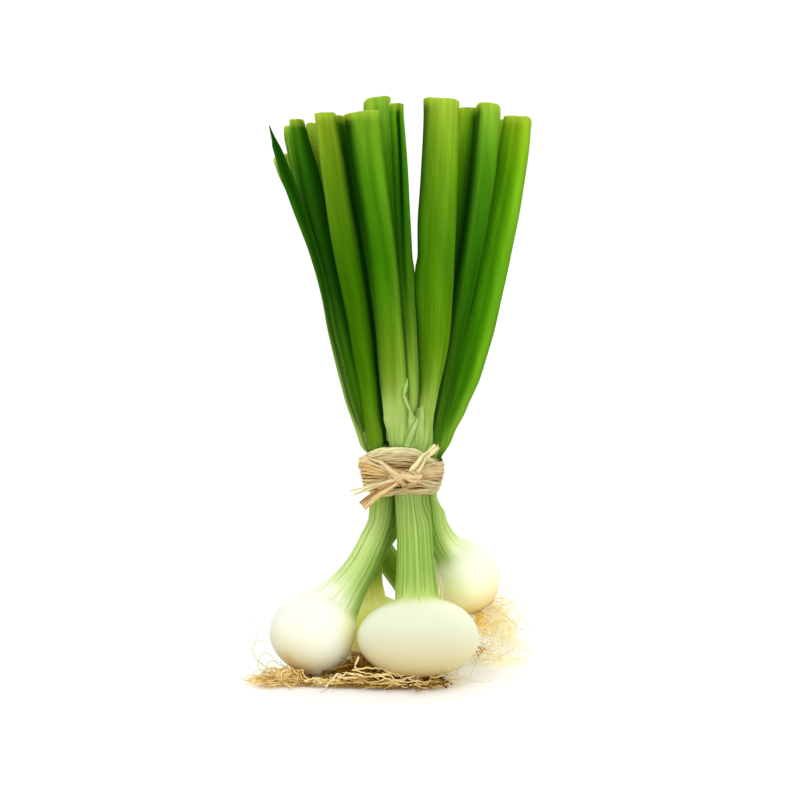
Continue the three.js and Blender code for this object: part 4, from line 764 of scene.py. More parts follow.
def build_leaf(key, leaf, sides=56):
    look = LOOK[key]
    tr = LEAF_TRACKS[key]
    oname = key.rsplit('_', 1)[0]
    seed = sum(map(ord, key))
    pointed = key == 'front_left_1'
    z_base = leaf['rows'][0][0] - (8.4 if key == 'right_2' else 5 if leaf['rows'][0][0] < 115 else 6)
    top = leaf['top']
    zs = np.concatenate([np.linspace(z_base, top - 2.0, 66), np.linspace(top - 2.0, top, 5)[1:]])
    n = len(zs)
    th = np.arange(sides) * 2 * math.pi / sides
    slant = CUT_SLANT.get(key, 0.04 * math.sin(seed))

    def section(zz, inset, angle):
        """Points of rings at heights zz (array), inset from the outside."""
        zc = np.clip(zz, leaf['rows'][0][0], top)
        c = tr(zc)
        below = np.minimum(0, zz - leaf['rows'][0][0])
        d = (tr(np.array([leaf['rows'][0][0] + 4]))[0] - tr(np.array([leaf['rows'][0][0]]))[0]) / 4
        x, y = c[:, 0] + below * d[0], c[:, 1] + below * d[1]
        shrink = 1 + (0.045 if key == 'right_2' else 0.09) * below
        a, b = c[:, 2] * shrink, c[:, 3] * shrink
        # the foot of a blade tucks in under the tie
        if leaf['rows'][0][0] < 115:
            tuck = (0.06 if key == 'right_2' else 0.13) * smooth(106.5, 102.5, zz)
            x, y = x + (TIE_CENTRE[0] - x) * tuck, y + (TIE_CENTRE[1] - y) * tuck
        if key == 'right_2':
            y = y - 4.5 * smooth(112, 103, zz)
        if key == 'front_2':
            y = y - 4.5 * smooth(176, 132, zz)
        hi = smooth(z_base + 6, z_base + 40, zz)
        phi = math.radians(leaf['phi']) + 0.05 * ripple(zz, seed, [0.04, 0.09], [0.6, 0.4]) * hi
        ca, sa = np.cos(angle), np.sin(angle)
        # a slightly boxy flattened tube
        p = 1 - 0.10 * hi
        u = np.sign(ca) * np.abs(ca) ** p
        w = np.sign(sa) * np.abs(sa) ** p
        front = smooth(0, 0.6, -sa)
        back = smooth(0, 0.6, sa)
        bumpy = np.zeros_like(u)
        for (pos, h, wd) in look['k']:
            bumpy += h * np.exp(-((u - pos - 0.06 * np.sin(zz * 0.05 + seed)) / wd) ** 2) * front
        bumpy += (0.35 * np.exp(-((u + 0.3) / 0.3) ** 2) - 0.3 * np.exp(-((u - 0.25) / 0.25) ** 2)) * back
        wave = 0.16 * ripple(zz * 0.06 + 2.2 * u, seed + 3, [1.0, 1.9, 3.1], [0.5, 0.3, 0.25])
        swell = 1 + 0.035 * ripple(zz, seed + 7, [0.05, 0.11, 0.23], [0.6, 0.4, 0.2]) * hi
        ue = (a - inset) * u * swell
        if key in SPREAD:
            sp = np.array(SPREAD[key])
            ue = ue - np.interp(zz, sp[:, 0], sp[:, 1]) * smooth(0.2, -1, u) + np.interp(zz, sp[:, 0], sp[:, 2]) * smooth(-0.2, 1, u)
        we = (b - np.minimum(inset, b * 0.45)) * w * swell + (w < 0) * -0.0 - bumpy * hi * np.where(b > 1.5, 1, 0.2) * np.where(sa < 0, 1, -1) + wave * hi
        X = x + ue * np.cos(phi) - we * np.sin(phi)
        Y = y + ue * np.sin(phi) + we * np.cos(phi)
        return X, Y, ue

    ZZ, TH = np.repeat(zs, sides), np.tile(th, n)
    X, Y, UE = section(ZZ, 0.0, TH)
    cl, cr = CORNERS.get(key, (0.7, 0.7))

    def cut_line(ue, angle):
        ca = np.cos(angle)
        return slant * ue + 0.22 * ripple(angle, seed + 21, [2, 5, 9], [0.5, 0.3, 0.2]) - np.where(ca < 0, cl, cr) * np.abs(ca) ** 5

    cut = cut_line(UE, TH)
    near = smooth(top - 6, top, ZZ)
    Z = ZZ + cut * near
    outer = np.stack([X, Y, Z], 1)
    if pointed:
        tipw = np.clip((ZZ - (top - 9)) / 9, 0, 1)
        centre = tr(np.clip(ZZ, leaf['rows'][0][0], top))[:, :2]
        lean = np.array([1.6, 0.0]) * smooth(top - 22, top - 4, ZZ)[:, None] * 0
        outer[:, :2] = outer[:, :2] * (1 - 0.75 * tipw[:, None]) + (centre + lean) * 0.75 * tipw[:, None]
        outer[:, 2] = ZZ
        verts = outer.tolist() + [[float(centre[-1, 0]), float(centre[-1, 1]), top + 1.2], [float(centre[0, 0]), float(centre[0, 1]), z_base]]
        faces = grid_faces(n, sides)
        faces += [(len(verts) - 2, (n - 1) * sides + j, (n - 1) * sides + (j + 1) % sides) for j in range(sides)]
        faces += [(len(verts) - 1, (j + 1) % sides, j) for j in range(sides)]
        rowz, rowth, inner_flag, rim_flag = ZZ, TH, np.zeros(n * sides), np.zeros(n * sides)
        tail = 2
    else:
        wall = 1.15
        # rim: rolled over slightly, then the hollow
        zi = np.concatenate([[top - 0.05], np.linspace(top - 0.9, top - 12, 8), np.linspace(top - 16, top - 70, 16)])
        ins = np.concatenate([[wall * 0.45], np.full(len(zi) - 1, wall)])
        Zi, Ti, In = np.repeat(zi, sides), np.tile(th, len(zi)), np.repeat(ins, sides)
        Xi, Yi, Ui = section(Zi, In, Ti)
        cuti = cut_line(Ui, Ti) * smooth(top - 6, top, Zi)
        lift = np.where(np.arange(len(Zi)) < sides, 0.12, 0)
        inner = np.stack([Xi, Yi, Zi + cuti + lift], 1)
        verts = np.concatenate([outer, inner]).tolist()
        total = n + len(zi)
        faces = grid_faces(total, sides)
        cz = tr(np.array([top - 70]))[0]
        verts += [[float(cz[0]), float(cz[1]), top - 70], [float(tr(np.array([leaf['rows'][0][0]]))[0, 0]), float(tr(np.array([leaf['rows'][0][0]]))[0, 1]), z_base]]
        off = (total - 1) * sides
        faces += [(len(verts) - 2, off + j, off + (j + 1) % sides) for j in range(sides)]
        faces += [(len(verts) - 1, (j + 1) % sides, j) for j in range(sides)]
        rowz, rowth = np.concatenate([ZZ, Zi]), np.concatenate([TH, Ti])
        inner_flag = np.concatenate([np.zeros(len(ZZ)), np.ones(len(Zi))])
        rim_flag = np.concatenate([(ZZ > top - 0.35) * 1.0, np.concatenate([np.ones(2 * sides), np.zeros(len(Zi) - 2 * sides)])])
        tail = 2
    # colour
    z0 = leaf['rows'][0][0]
    f = np.clip((rowz - z0) / (top - z0), 0, 1)
    wob = 0.03 * ripple(rowth, seed + 5, [3, 7, 13], [0.5, 0.35, 0.3])
    ff = np.clip(f + wob * smooth(0, 0.1, f), 0, 1)
    stops = np.array(look['c'], float)
    place_ = [0.0, 0.2, 0.52, 0.84, 1.0]
    fine_t = np.linspace(0, 1, 101)
    tab = np.stack([np.convolve(np.pad(np.interp(fine_t, place_, stops[:, k]), 6, mode='edge'), np.ones(13) / 13, mode='valid') for k in range(3)])
    srg = np.stack([np.interp(ff, fine_t, tab[k]) for k in range(3)])
    uc, front = np.cos(rowth), smooth(0.15, -0.35, np.sin(rowth))
    rr = np.random.default_rng(seed)
    # painted bands: a gain below 1 paints shade, a gain above 1 mixes towards a pale painted highlight
    for (p1, p0, wd, g1, g0) in look['b']:
        centre_u = p0 + (p1 - p0) * f + 0.05 * np.sin(rowz * 0.045 + seed)
        gain = g0 + (g1 - g0) * smooth(0.15, 0.85, f)
        m = np.exp(-((uc - centre_u) / wd) ** 2) * front * smooth(0.0, 0.10, f)
        srg = np.where(gain < 1, srg * (1 + (gain - 1) * m) ** np.array([[1.35], [1.0], [1.5]]), srg + (np.array([[176.0], [200.0], [104.0]]) - srg) * (gain - 1) * 0.9 * m)
    for _ in range(4):
        pu, wd, gn = rr.uniform(-0.9, 0.9), rr.uniform(0.1, 0.35), rr.uniform(0.72, 1.15)
        srg = srg * (1 + (gn - 1) * np.exp(-((uc - pu - 0.1 * np.sin(rowz * 0.03 + pu * 9)) / wd) ** 2) * (1 - front))
    srg = srg * (1 + 0.035 * ripple(rowth, seed + 6, [2, 4, 9, 17], [0.5, 0.4, 0.3, 0.3]))
    srg = srg * (1 + 0.04 * ripple(rowz * 0.1 + 3 * uc, seed + 16, [0.7, 1.7, 3.9], [0.5, 0.4, 0.3]))
    # painted shade at the foot of this blade, where it goes in under the tie
    if key == 'right_2':
        srg = srg * (1 - 0.4 * smooth(106.5, 101.5, rowz))
    if oname == 'front':
        join = ONIONS['front']['spine'][-1][2]
        foot = 0.9 * smooth(join + 17, join, rowz) * (1 - inner_flag)
        srg = srg * (1 - foot) + stops[0][:, None] * 0.95 * foot
    # painted shade: the sides of each blade are darker
    edge = np.abs(uc) ** 10
    srg = srg * (1 - 0.22 * edge * (1 - inner_flag) * smooth(0.02, 0.12, f))
    col = srgb(*srg.clip(0, 255)).T
    if not pointed:
        wobz = 0.7 * ripple(rowth, seed + 31, [2, 5, 11], [0.5, 0.4, 0.3])
        lime = smooth(top - 5.0, top - 0.4, rowz + wobz) * (1 - inner_flag)
        col = mixc(col, np.broadcast_to(srgb(168, 196, 56), col.shape), 0.55 * lime)
    pale = srgb(176, 200, 110)
    col = mixc(col, np.broadcast_to(pale, col.shape), 0.55 * inner_flag * smooth(top - 60, top - 5, rowz))
    col = mixc(col, np.broadcast_to(srgb(196, 214, 104), col.shape), 0.8 * rim_flag)
    col = np.concatenate([col, np.repeat(col[-1:], tail, 0)])
    uv = np.stack([rowth / (2 * math.pi), rowz / 100], 1)
    uv = np.concatenate([uv, np.repeat(uv[-1:], tail, 0)])
    ob = make_mesh(f"blade_{key}", verts, faces, MAT_LEAF, uv=uv, attrs={"Col": np.clip(col, 0, 1)})
    return finish_piece(ob, "leaf", f"leaf_{key}")


for oname, leaves in LEAVES.items():
    for i, lf in enumerate(leaves):
        build_leaf(f"{oname}_{i + 1}", lf)


# ------------------------------------------------------------------ tubes and ribbons
def catmull(pts, n):
    """A smooth path through the points, n samples, evenly spaced."""
    p = np.array(pts, float)
    seg = np.linalg.norm(np.diff(p, axis=0), axis=1)
    t = np.concatenate([[0], np.cumsum(np.maximum(seg, 1e-6))])
    tr = Track(np.column_stack([t, p]))
    return tr(np.linspace(0, t[-1], n))


class Bag:
    """Collects many small tubes into one mesh."""
    def __init__(self):
        self.v, self.f, self.c, self.uv = [], [], [], []
        self.n = 0

    def tube(self, path, radius, colour, sides=5, flat=1.0, v0=0.0):
        P = np.asarray(path, float)
        n = len(P)
        T = np.gradient(P, axis=0)
        T /= np.linalg.norm(T, axis=1)[:, None] + 1e-12
        ref = np.array([0.13, 0.21, 0.97])
        A = np.cross(T, ref)
        A /= np.linalg.norm(A, axis=1)[:, None] + 1e-9
        B = np.cross(T, A)
        th = np.arange(sides) * 2 * math.pi / sides
        R = np.broadcast_to(radius, n)[:, None, None]
        V = P[:, None] + R * (A[:, None] * np.cos(th)[None, :, None] + B[:, None] * np.sin(th)[None, :, None] * flat)
        off = self.n
        self.v.append(V.reshape(-1, 3))
        self.f += grid_faces(n, sides, off)
        self.f.append(tuple(off + j for j in range(sides))[::-1])
        self.f.append(tuple(off + (n - 1) * sides + j for j in range(sides)))
        col = np.broadcast_to(colour, (n, 3))
        self.c.append(np.repeat(col, sides, 0))
        L = np.concatenate([[0], np.cumsum(np.linalg.norm(np.diff(P, axis=0), axis=1))])
        self.uv.append(np.stack([np.tile(th / 6.283, n), np.repeat(L / 100 + v0, sides)], 1))
        self.n += n * sides

    def build(self, name, mat):
        return make_mesh(name, np.concatenate(self.v), self.f, mat, uv=np.concatenate(self.uv), attrs={"Col": np.clip(np.concatenate(self.c), 0, 1)})


ROOT_TONES = [srgb(226, 196, 128), srgb(206, 172, 100), srgb(186, 148, 82), srgb(160, 122, 66), srgb(236, 214, 156), srgb(140, 104, 54)]
PALE_TONES = [srgb(244, 228, 168), srgb(238, 216, 150), srgb(226, 198, 122), srgb(248, 236, 190), srgb(216, 186, 104)]
CROWN = srgb(104, 72, 34)


def wander(rng, start, heading, length, climb, settle, wave, curl, floor_z, step=1.1, hold=None):
    """A root path: leaves the crown, rises or falls, then lies on the floor, wandering."""
    n = max(6, int(length / step))
    p = np.array(start, float)
    a, pitch = heading, climb
    turn = rng.normal(0, curl)
    out = [p.copy()]
    k1, k2 = rng.uniform(0, 6.28, 2)
    w1, w2 = rng.uniform(0.5, 0.9), rng.uniform(1.2, 2.0)
    for i in range(n):
        s = i * step
        turn = 0.86 * turn + rng.normal(0, curl * 0.5)
        a += turn * step + wave * (math.sin(w1 * s + k1) + 0.6 * math.sin(w2 * s + k2)) * step * 0.12
        pitch += (-(pitch) * 0.10 - settle * (p[2] - floor_z) * 0.05 + rng.normal(0, 0.10)) * step
        pitch = max(-1.2, min(1.2, pitch))
        p = p + step * np.array([math.cos(a) * math.cos(pitch), math.sin(a) * math.cos(pitch), math.sin(pitch)])
        if p[2] < floor_z:
            p[2] = floor_z
            pitch = max(0.0, pitch)
        if hold is not None:
            q = hold(p)
            if q is not None:
                p = q
        out.append(p.copy())
    return np.array(out)


def keep_out_of_bulbs(P, margin=0.5):
    """Push path points out of the bulbs."""
    for o in ONIONS.values():
        sp = o['spine']
        c = np.array(sp[1][:3])
        ax = np.array(sp[2][:3]) - np.array(sp[0][:3])
        ax /= np.linalg.norm(ax)
        d = P - c
        h = d @ ax
        rad = d - h[:, None] * ax
        rr = np.linalg.norm(rad, axis=1) + 1e-9
        b = o['bulb']
        e = np.where(h < 0, -h / b['below'], h / b['above'])
        lim = b['radius'] * np.sqrt(np.clip(1 - e * e, 0, None)) + margin
        inside = (e < 1) & (rr < lim)
        push = np.where(inside, lim - rr, 0)
        # low down, go round underneath rather than out sideways
        low = h < -0.55 * b['below']
        e2 = np.clip(rr / b['radius'], 0, 1)
        hl = -b['below'] * np.sqrt(1 - e2 ** 2) - margin
        down = np.where(inside & low, np.minimum(hl - h, 0), 0)
        side = np.where(inside & ~low, push, 0)
        P = P + rad / rr[:, None] * side[:, None] + ax * down[:, None]
    P[:, 2] = np.maximum(P[:, 2], 0.35)
    P[:, 0] = np.clip(P[:, 0], -76.5, 70)
    P[:, 1] = np.clip(P[:, 1], -68, 66)
    return P


def add_roots(bag, rng, n, start, spread, heading, fan, length, climb=0.2, settle=1.0, wave=1.0, curl=0.05,
              r=(0.3, 0.5), floor=(0.4, 2.5), tones=ROOT_TONES, bulbs=True, dark=0.6, box=None, sides=5):
    for i in range(n):
        s = np.array(start) + np.clip(rng.normal(0, 1, 3), -2, 2) * np.array(spread)
        s[2] = max(s[2], 0.5)
        ang = math.radians(heading + rng.uniform(-fan, fan))
        L = rng.uniform(*length)
        fz = rng.uniform(*floor)
        P = wander(rng, s, ang, L, rng.normal(climb, 0.3), settle, wave, curl, fz)
        if bulbs:
            P = keep_out_of_bulbs(P)
        P[:, 2] = np.maximum(P[:, 2], fz * 0.6 + 0.2)
        if box is not None:
            P = np.clip(P, np.array(box[0]), np.array(box[1]))
        # soften
        for _ in range(2):
            P[1:-1] = 0.25 * P[:-2] + 0.5 * P[1:-1] + 0.25 * P[2:]
        m = len(P)
        P = catmull(P, int(min(48, m * 1.5)))
        f = np.linspace(0, 1, len(P))
        r0 = rng.uniform(*r)
        rad = r0 * (1 - 0.72 * f ** 1.5) * (1 + 0.12 * np.sin(f * rng.uniform(10, 30) + rng.uniform(0, 6)))
        tone = tones[rng.integers(len(tones))] * rng.uniform(0.86, 1.12)
        tip = tone * 1.1
        col = mixc(tone, tip, f)
        col = mixc(col, np.broadcast_to(CROWN, col.shape), dark * np.exp(-f * L / 5.0))
        bag.tube(P, rad, np.clip(col, 0, 1), sides=sides, v0=rng.uniform(0, 3))


def place(bag, rng, pts, r0, r1, tone, jitter=0.25, dark=0.0):
    """One root laid through the given points."""
    P = catmull(pts, max(14, 8 * len(pts)))
    f = np.linspace(0, 1, len(P))
    for k in range(3):
        P[:, k] += jitter * (np.sin(f * rng.uniform(8, 22) + rng.uniform(0, 6)) + 0.5 * np.sin(f * rng.uniform(25, 50) + rng.uniform(0, 6))) * np.minimum(1, 4 * f)
    P[:, 2] = np.maximum(P[:, 2], 0.3)
    rad = (r0 + (r1 - r0) * f) * (1 + 0.12 * np.sin(f * rng.uniform(10, 30)))
    col = mixc(np.broadcast_to(tone, (len(P), 3)), np.broadcast_to(CROWN, (len(P), 3)), dark * np.exp(-f * 5))
    bag.tube(P, rad, np.clip(col, 0, 1), sides=6, v0=rng.uniform(0, 3))


GOLD_TONES = [srgb(246, 222, 152), srgb(234, 204, 126), srgb(220, 184, 104), srgb(250, 236, 184), srgb(200, 158, 84)]
BED_TONES = [srgb(150, 115, 40), srgb(129, 94, 28), srgb(172, 137, 58), srgb(106, 73, 20)]

# ---- front left tuft: a claw of dry roots to the left, a low mat forward
rng = np.random.default_rng(101)
bag = Bag()
cl = (-50.0, -31.0, 3.6)
add_roots(bag, rng, 70, (-53, -37, 1.4), (4.5, 3.5, 0.5), 188, 36, (9, 18), climb=0.05, wave=1.5, curl=0.10, r=(0.28, 0.46), floor=(0.4, 2.6), tones=GOLD_TONES, dark=0.25)
add_roots(bag, rng, 46, (-50, -40, 1.8), (5, 2.5, 0.7), 196, 50, (9, 18), climb=0.05, wave=1.6, curl=0.09, r=(0.26, 0.44), floor=(0.4, 3.0), tones=GOLD_TONES, dark=0.25)
add_roots(bag, rng, 30, (-38, -41, 1.0), (7, 2.5, 0.4), 345, 30, (8, 16), climb=0.0, wave=0.9, curl=0.05, r=(0.24, 0.4), floor=(0.4, 1.5), tones=GOLD_TONES[:3] + BED_TONES[:1], dark=0.2)
add_roots(bag, rng, 34, (-42, -24, 1.6), (8, 6, 0.4), 90, 180, (8, 16), climb=0.0, wave=1.3, curl=0.08, r=(0.26, 0.42), floor=(0.4, 1.6), tones=BED_TONES)
add_roots(bag, rng, 70, (-27, -33, 2.4), (4.5, 4.5, 1.4), 20, 120, (8, 15), climb=0.2, wave=1.5, curl=0.08, r=(0.28, 0.5), floor=(0.4, 6.0), tones=BED_TONES, dark=0.3)
# claw: thick roots arching off the crown
for i in range(24):
    a = math.radians(140 + i * 7 + rng.uniform(-6, 6))
    reach_ = rng.uniform(9, 17)
    h = rng.uniform(1.6, 5.0)
    b = np.array(cl) + np.array([rng.uniform(-2, 2), rng.uniform(-2.5, 0), 0.0])
    tip = b + np.array([math.cos(a) * reach_, min(0, math.sin(a)) * reach_ * 0.5 - 5, 0])
    side = np.array([-math.sin(a), math.cos(a), 0]) * rng.uniform(-2.5, 2.5)
    place(bag, rng, [b, b + (tip - b) * 0.35 + [0, 0, h * 0.55], b + (tip - b) * 0.75 + [0, 0, h * 0.32] + side, [tip[0] + side[0] * 0.4, tip[1], rng.uniform(0.5, 1.6)]],
          0.5, 0.2, GOLD_TONES[rng.integers(4)], 0.5, 0.5)
# stray curls off to the left, pale grey green
CURL = srgb(214, 216, 170)
place(bag, rng, [(-50, -33, 3), (-56, -34, 8), (-61, -33, 12.8), (-65, -32, 11.8), (-66.5, -31.5, 7.5), (-64, -33, 4), (-59.5, -34, 3.6), (-57, -35, 5.5), (-59, -35, 8.0)], 0.26, 0.14, CURL, 0.35)
place(bag, rng, [(-52, -33, 3), (-60, -33, 5), (-66, -31, 9), (-69.5, -30, 14), (-67, -30, 18.5), (-63, -30, 18)], 0.24, 0.12, CURL, 0.35)
place(bag, rng, [(-54, -34, 3), (-62, -32, 6.5), (-68, -30, 10), (-67, -29, 20), (-67.5, -28, 27)], 0.2, 0.1, CURL, 0.35)
place(bag, rng, [(-56, -36, 2), (-66, -37, 2.5), (-71, -37, 1.2), (-74, -36, 2.2), (-75.3, -35, 4)], 0.24, 0.12, CURL, 0.35)
place(bag, rng, [(-50, -34, 3), (-56, -35, 9), (-60, -35, 10), (-62, -34, 6.5), (-60, -35, 3), (-56.5, -35, 4.5)], 0.26, 0.14, CURL, 0.35)
place(bag, rng, [(-58, -36, 3), (-65, -35, 6), (-68, -34, 3.4), (-65, -34, 1.4), (-60, -35, 2.2)], 0.22, 0.12, CURL, 0.35)
finish_piece(bag.build("rootlets_front_left", MAT_ROOT), "root", "roots_front_left")

# ---- front tuft: a wide mat of straw-like roots under and before the bulb
rng = np.random.default_rng(202)
bag = Bag()
add_roots(bag, rng, 110, (0, -42, 1.2), (12, 4.5, 0.5), 190, 40, (10, 22), climb=0.0, wave=1.3, curl=0.06, r=(0.28, 0.48), floor=(0.4, 2.2), tones=BED_TONES * 2 + GOLD_TONES[2:3], dark=0.3)
add_roots(bag, rng, 46, (8, -42, 1.2), (4, 4, 0.5), 350, 30, (5, 9), climb=0.0, wave=1.2, curl=0.06, r=(0.26, 0.44), floor=(0.4, 1.8), tones=BED_TONES, dark=0.3)
add_roots(bag, rng, 26, (10.5, -44, 1.0), (2.2, 2, 0.3), 0, 20, (3.5, 6), climb=0.0, wave=0.6, curl=0.03, r=(0.28, 0.5), floor=(0.4, 1.2), tones=[srgb(228, 182, 104), srgb(210, 160, 84), srgb(240, 206, 134)], dark=0.15)
add_roots(bag, rng, 60, (-9, -41, 2.2), (6, 3, 0.9), 175, 70, (8, 17), climb=0.3, wave=1.4, curl=0.08, r=(0.28, 0.46), floor=(0.4, 4.5), tones=BED_TONES + GOLD_TONES[1:3], dark=0.3)
add_roots(bag, rng, 40, (6, -32, 1.2), (8, 6, 0.3), 90, 180, (7, 12), climb=0.0, wave=0.9, r=(0.26, 0.42), floor=(0.4, 1.4), tones=BED_TONES)
# pile between the two front bulbs
add_roots(bag, rng, 110, (-18, -35, 4.6), (3.4, 3.4, 3.0), 30, 180, (6, 13), climb=0.4, settle=0.25, wave=2.0, curl=0.16, r=(0.26, 0.46), floor=(0.8, 9.5), tones=BED_TONES, dark=0.3)
add_roots(bag, rng, 60, (-20, -26, 3.0), (4, 4, 1.6), 200, 180, (7, 14), climb=0.1, wave=1.4, curl=0.08, r=(0.3, 0.5), floor=(0.4, 7.5), tones=BED_TONES, dark=0.3)
# long straws laid across the front
for a, r0, tone in [
    ([(-19, -44, 14), (-20.5, -45, 9), (-14, -46, 8.8), (-9, -46.5, 9.5), (-3, -47, 6.0), (4, -48, 5.2)], 0.52, ROOT_TONES[4]),
    ([(-24, -46, 6.5), (-14, -47, 5.5), (-4, -48, 4.5), (7, -49, 4.2), (14, -49, 3.6)], 0.56, GOLD_TONES[0]),
    ([(23.5, -45, 8.5), (17, -47, 5.6), (12, -48, 2.8), (5, -49, 3.2)], 0.44, GOLD_TONES[1]),
    ([(-30, -46, 5.6), (-22, -47, 4.6), (-14, -48, 3.0), (-6, -49, 4.2), (2, -49, 2.4)], 0.5, GOLD_TONES[0]),
    ([(-34, -48, 0.8), (-31, -48, 4.0), (-27, -47, 6.6), (-21, -46, 6.2)], 0.45, GOLD_TONES[3]),
    ([(-12, -48, 1.5), (-4, -50, 3.0), (6, -50, 2.2), (18, -49, 1.6), (25.5, -46, 1.8)], 0.5, GOLD_TONES[1]),
    ([(-8, -46, 6.5), (0, -48, 6.8), (10, -48, 6.0), (18, -47, 5.2)], 0.42, GOLD_TONES[0]),
    ([(-26, -45, 3.5), (-18, -46, 4.8), (-9, -47, 6.0), (2, -49, 3.8), (12, -50, 1.6)], 0.48, GOLD_TONES[3]),
    ([(-38, -45, 2.5), (-30, -46, 3.2), (-22, -47, 2.0), (-10, -49, 2.6)], 0.46, GOLD_TONES[1]),
    ([(-22, -46, 8.2), (-16, -47, 7.2), (-10, -47, 4.2), (-2, -49, 1.6)], 0.42, GOLD_TONES[0]),
    ([(-6, -49, 1.0), (1, -50, 4.4), (9, -49, 6.6), (14, -48, 7.4)], 0.40, GOLD_TONES[3]),
    ([(-44, -46, 3.0), (-37, -47, 4.4), (-30, -47, 3.4), (-24, -48, 1.4)], 0.44, GOLD_TONES[0]),
    ([(-16, -49, 1.2), (-10, -50, 2.4), (-3, -50, 1.4), (5, -51, 2.0), (13, -51, 1.2)], 0.44, GOLD_TONES[0]),
]:
    place(bag, rng, a, r0, r0 * 0.5, tone, 0.55, 0.0)
# short straws standing off the mat
for k in range(26):
    x0 = rng.uniform(-42, 20)
    y0 = -45 + rng.uniform(-2, 2)
    ax = rng.uniform(-1, 1)
    place(bag, rng, [(x0, y0, 1.0), (x0 + ax * 3, y0 - 1.2, rng.uniform(2, 4)), (x0 + ax * rng.uniform(5, 9), y0 - 2, rng.uniform(1.2, 6.0))], 0.36, 0.16, GOLD_TONES[rng.integers(4)], 0.6, 0.1)
# pale hairs to the right, partly standing in for painted light: the warm pale glow on the floor beside the bulb
add_roots(bag, rng, 18, (21, -36, 1.4), (3, 4, 0.6), 0, 50, (8, 15), climb=0.3, settle=0.6, wave=2.0, curl=0.12, r=(0.09, 0.15), floor=(0.4, 2.4), tones=[srgb(255, 248, 212), srgb(252, 240, 190)], dark=0.05)
place(bag, rng, [(26, -38, 4), (29, -38, 12), (33, -37, 13.5), (35, -37, 9), (33, -38, 5), (34, -39, 1.0)], 0.16, 0.10, srgb(192, 192, 150), 0.35)
place(bag, rng, [(25, -38, 6), (31, -38, 8.5), (38, -36, 10), (47, -34, 11.5), (54, -32, 15)], 0.14, 0.08, srgb(192, 192, 150), 0.35)
place(bag, rng, [(22, -41, 2), (29, -41, 3.0), (36, -41, 1.2), (43, -40, 2.0)], 0.14, 0.08, srgb(192, 192, 150), 0.35)
place(bag, rng, [(27, -38, 14), (31, -38, 15), (34, -38, 13), (32, -38, 10.5), (29, -38, 11.5)], 0.16, 0.10, srgb(192, 192, 150), 0.25)
finish_piece(bag.build("rootlets_front", MAT_ROOT), "root", "roots_front")

# ---- right tuft: a bright curly bush hanging to the floor
rng = np.random.default_rng(303)
bag = Bag()
BRIGHT = [srgb(244, 240, 214), srgb(242, 236, 200), srgb(238, 230, 178), srgb(246, 244, 224), srgb(232, 214, 148)]
for i in range(170):
    s = np.array([38.7, 15.2, 24.2]) + rng.normal(0, 1, 3) * np.array([2.4, 2.6, 1.6])
    far = i % 3 == 0
    tx = rng.uniform(46, 64) if far else rng.uniform(38, 58)
    ty = rng.uniform(-5, 20)
    tz = rng.uniform(3, 30) if i % 2 else rng.uniform(1.0, 12)
    mid_ = s + (np.array([tx, ty, tz]) - s) * 0.5 + np.array([rng.uniform(0, 7), rng.uniform(-3, 3), rng.uniform(-1, 7)])
    P = catmull([s, s + (mid_ - s) * 0.45 + [rng.uniform(0, 3), 0, rng.uniform(-1, 2)], mid_, [tx, ty, tz]], 44)
    f = np.linspace(0, 1, 44)
    amp = rng.uniform(1.0, 3.2)
    fr = rng.uniform(7, 17)
    env = np.minimum(1, 2.2 * f)
    for k in range(3):
        P[:, k] += amp * np.sin(f * fr * rng.uniform(0.8, 1.2) + rng.uniform(0, 6.28)) * env + 0.25 * np.sin(f * 42 + rng.uniform(0, 6)) * f
    P = keep_out_of_bulbs(P, 0.4)
    tone = BRIGHT[rng.integers(5)]
    r0 = rng.uniform(0.13, 0.27)
    col = mixc(np.broadcast_to(tone * rng.uniform(0.94, 1.04), (44, 3)), np.broadcast_to(srgb(230, 190, 106), (44, 3)), 0.38 * np.exp(-f * 7))
    bag.tube(P, r0 * (1 - 0.5 * f), np.clip(col, 0, 1), sides=5, v0=rng.uniform(0, 3))
add_roots(bag, rng, 30, (44, 8, 1.6), (5, 6, 0.5), 0, 180, (8, 17), climb=0.2, wave=1.8, curl=0.10, r=(0.16, 0.3), floor=(0.4, 3.0), tones=BRIGHT, dark=0.1)
# a dense golden core beside the front bulb
add_roots(bag, rng, 34, (37.5, 9, 17.5), (1.8, 3, 2.6), 330, 60, (6, 12), climb=-0.4, settle=0.05, wave=1.6, curl=0.10, r=(0.22, 0.36), floor=(8.0, 17.0), tones=[srgb(242, 220, 134), srgb(238, 210, 120), srgb(248, 234, 172)], dark=0.1)
# golden hairs close the corner between the two bulbs
add_roots(bag, rng, 46, (36.2, 5.5, 20.8), (1.9, 2.2, 2.2), 320, 90, (4, 8), climb=-0.3, settle=0.05, wave=1.2, curl=0.10, r=(0.24, 0.4), floor=(13.0, 22.0), tones=[srgb(238, 206, 110), srgb(230, 192, 90), srgb(246, 224, 148)], dark=0.15)
# pale hairs spread over the floor, partly standing in for painted light: a warm pale tint in the shade on the floor
add_roots(bag, rng, 26, (46, 0, 1.0), (6, 6, 0.4), 340, 60, (8, 16), climb=0.1, wave=1.6, curl=0.08, r=(0.12, 0.22), floor=(0.4, 1.6), tones=[srgb(254, 250, 222), srgb(252, 246, 204)], dark=0.0)
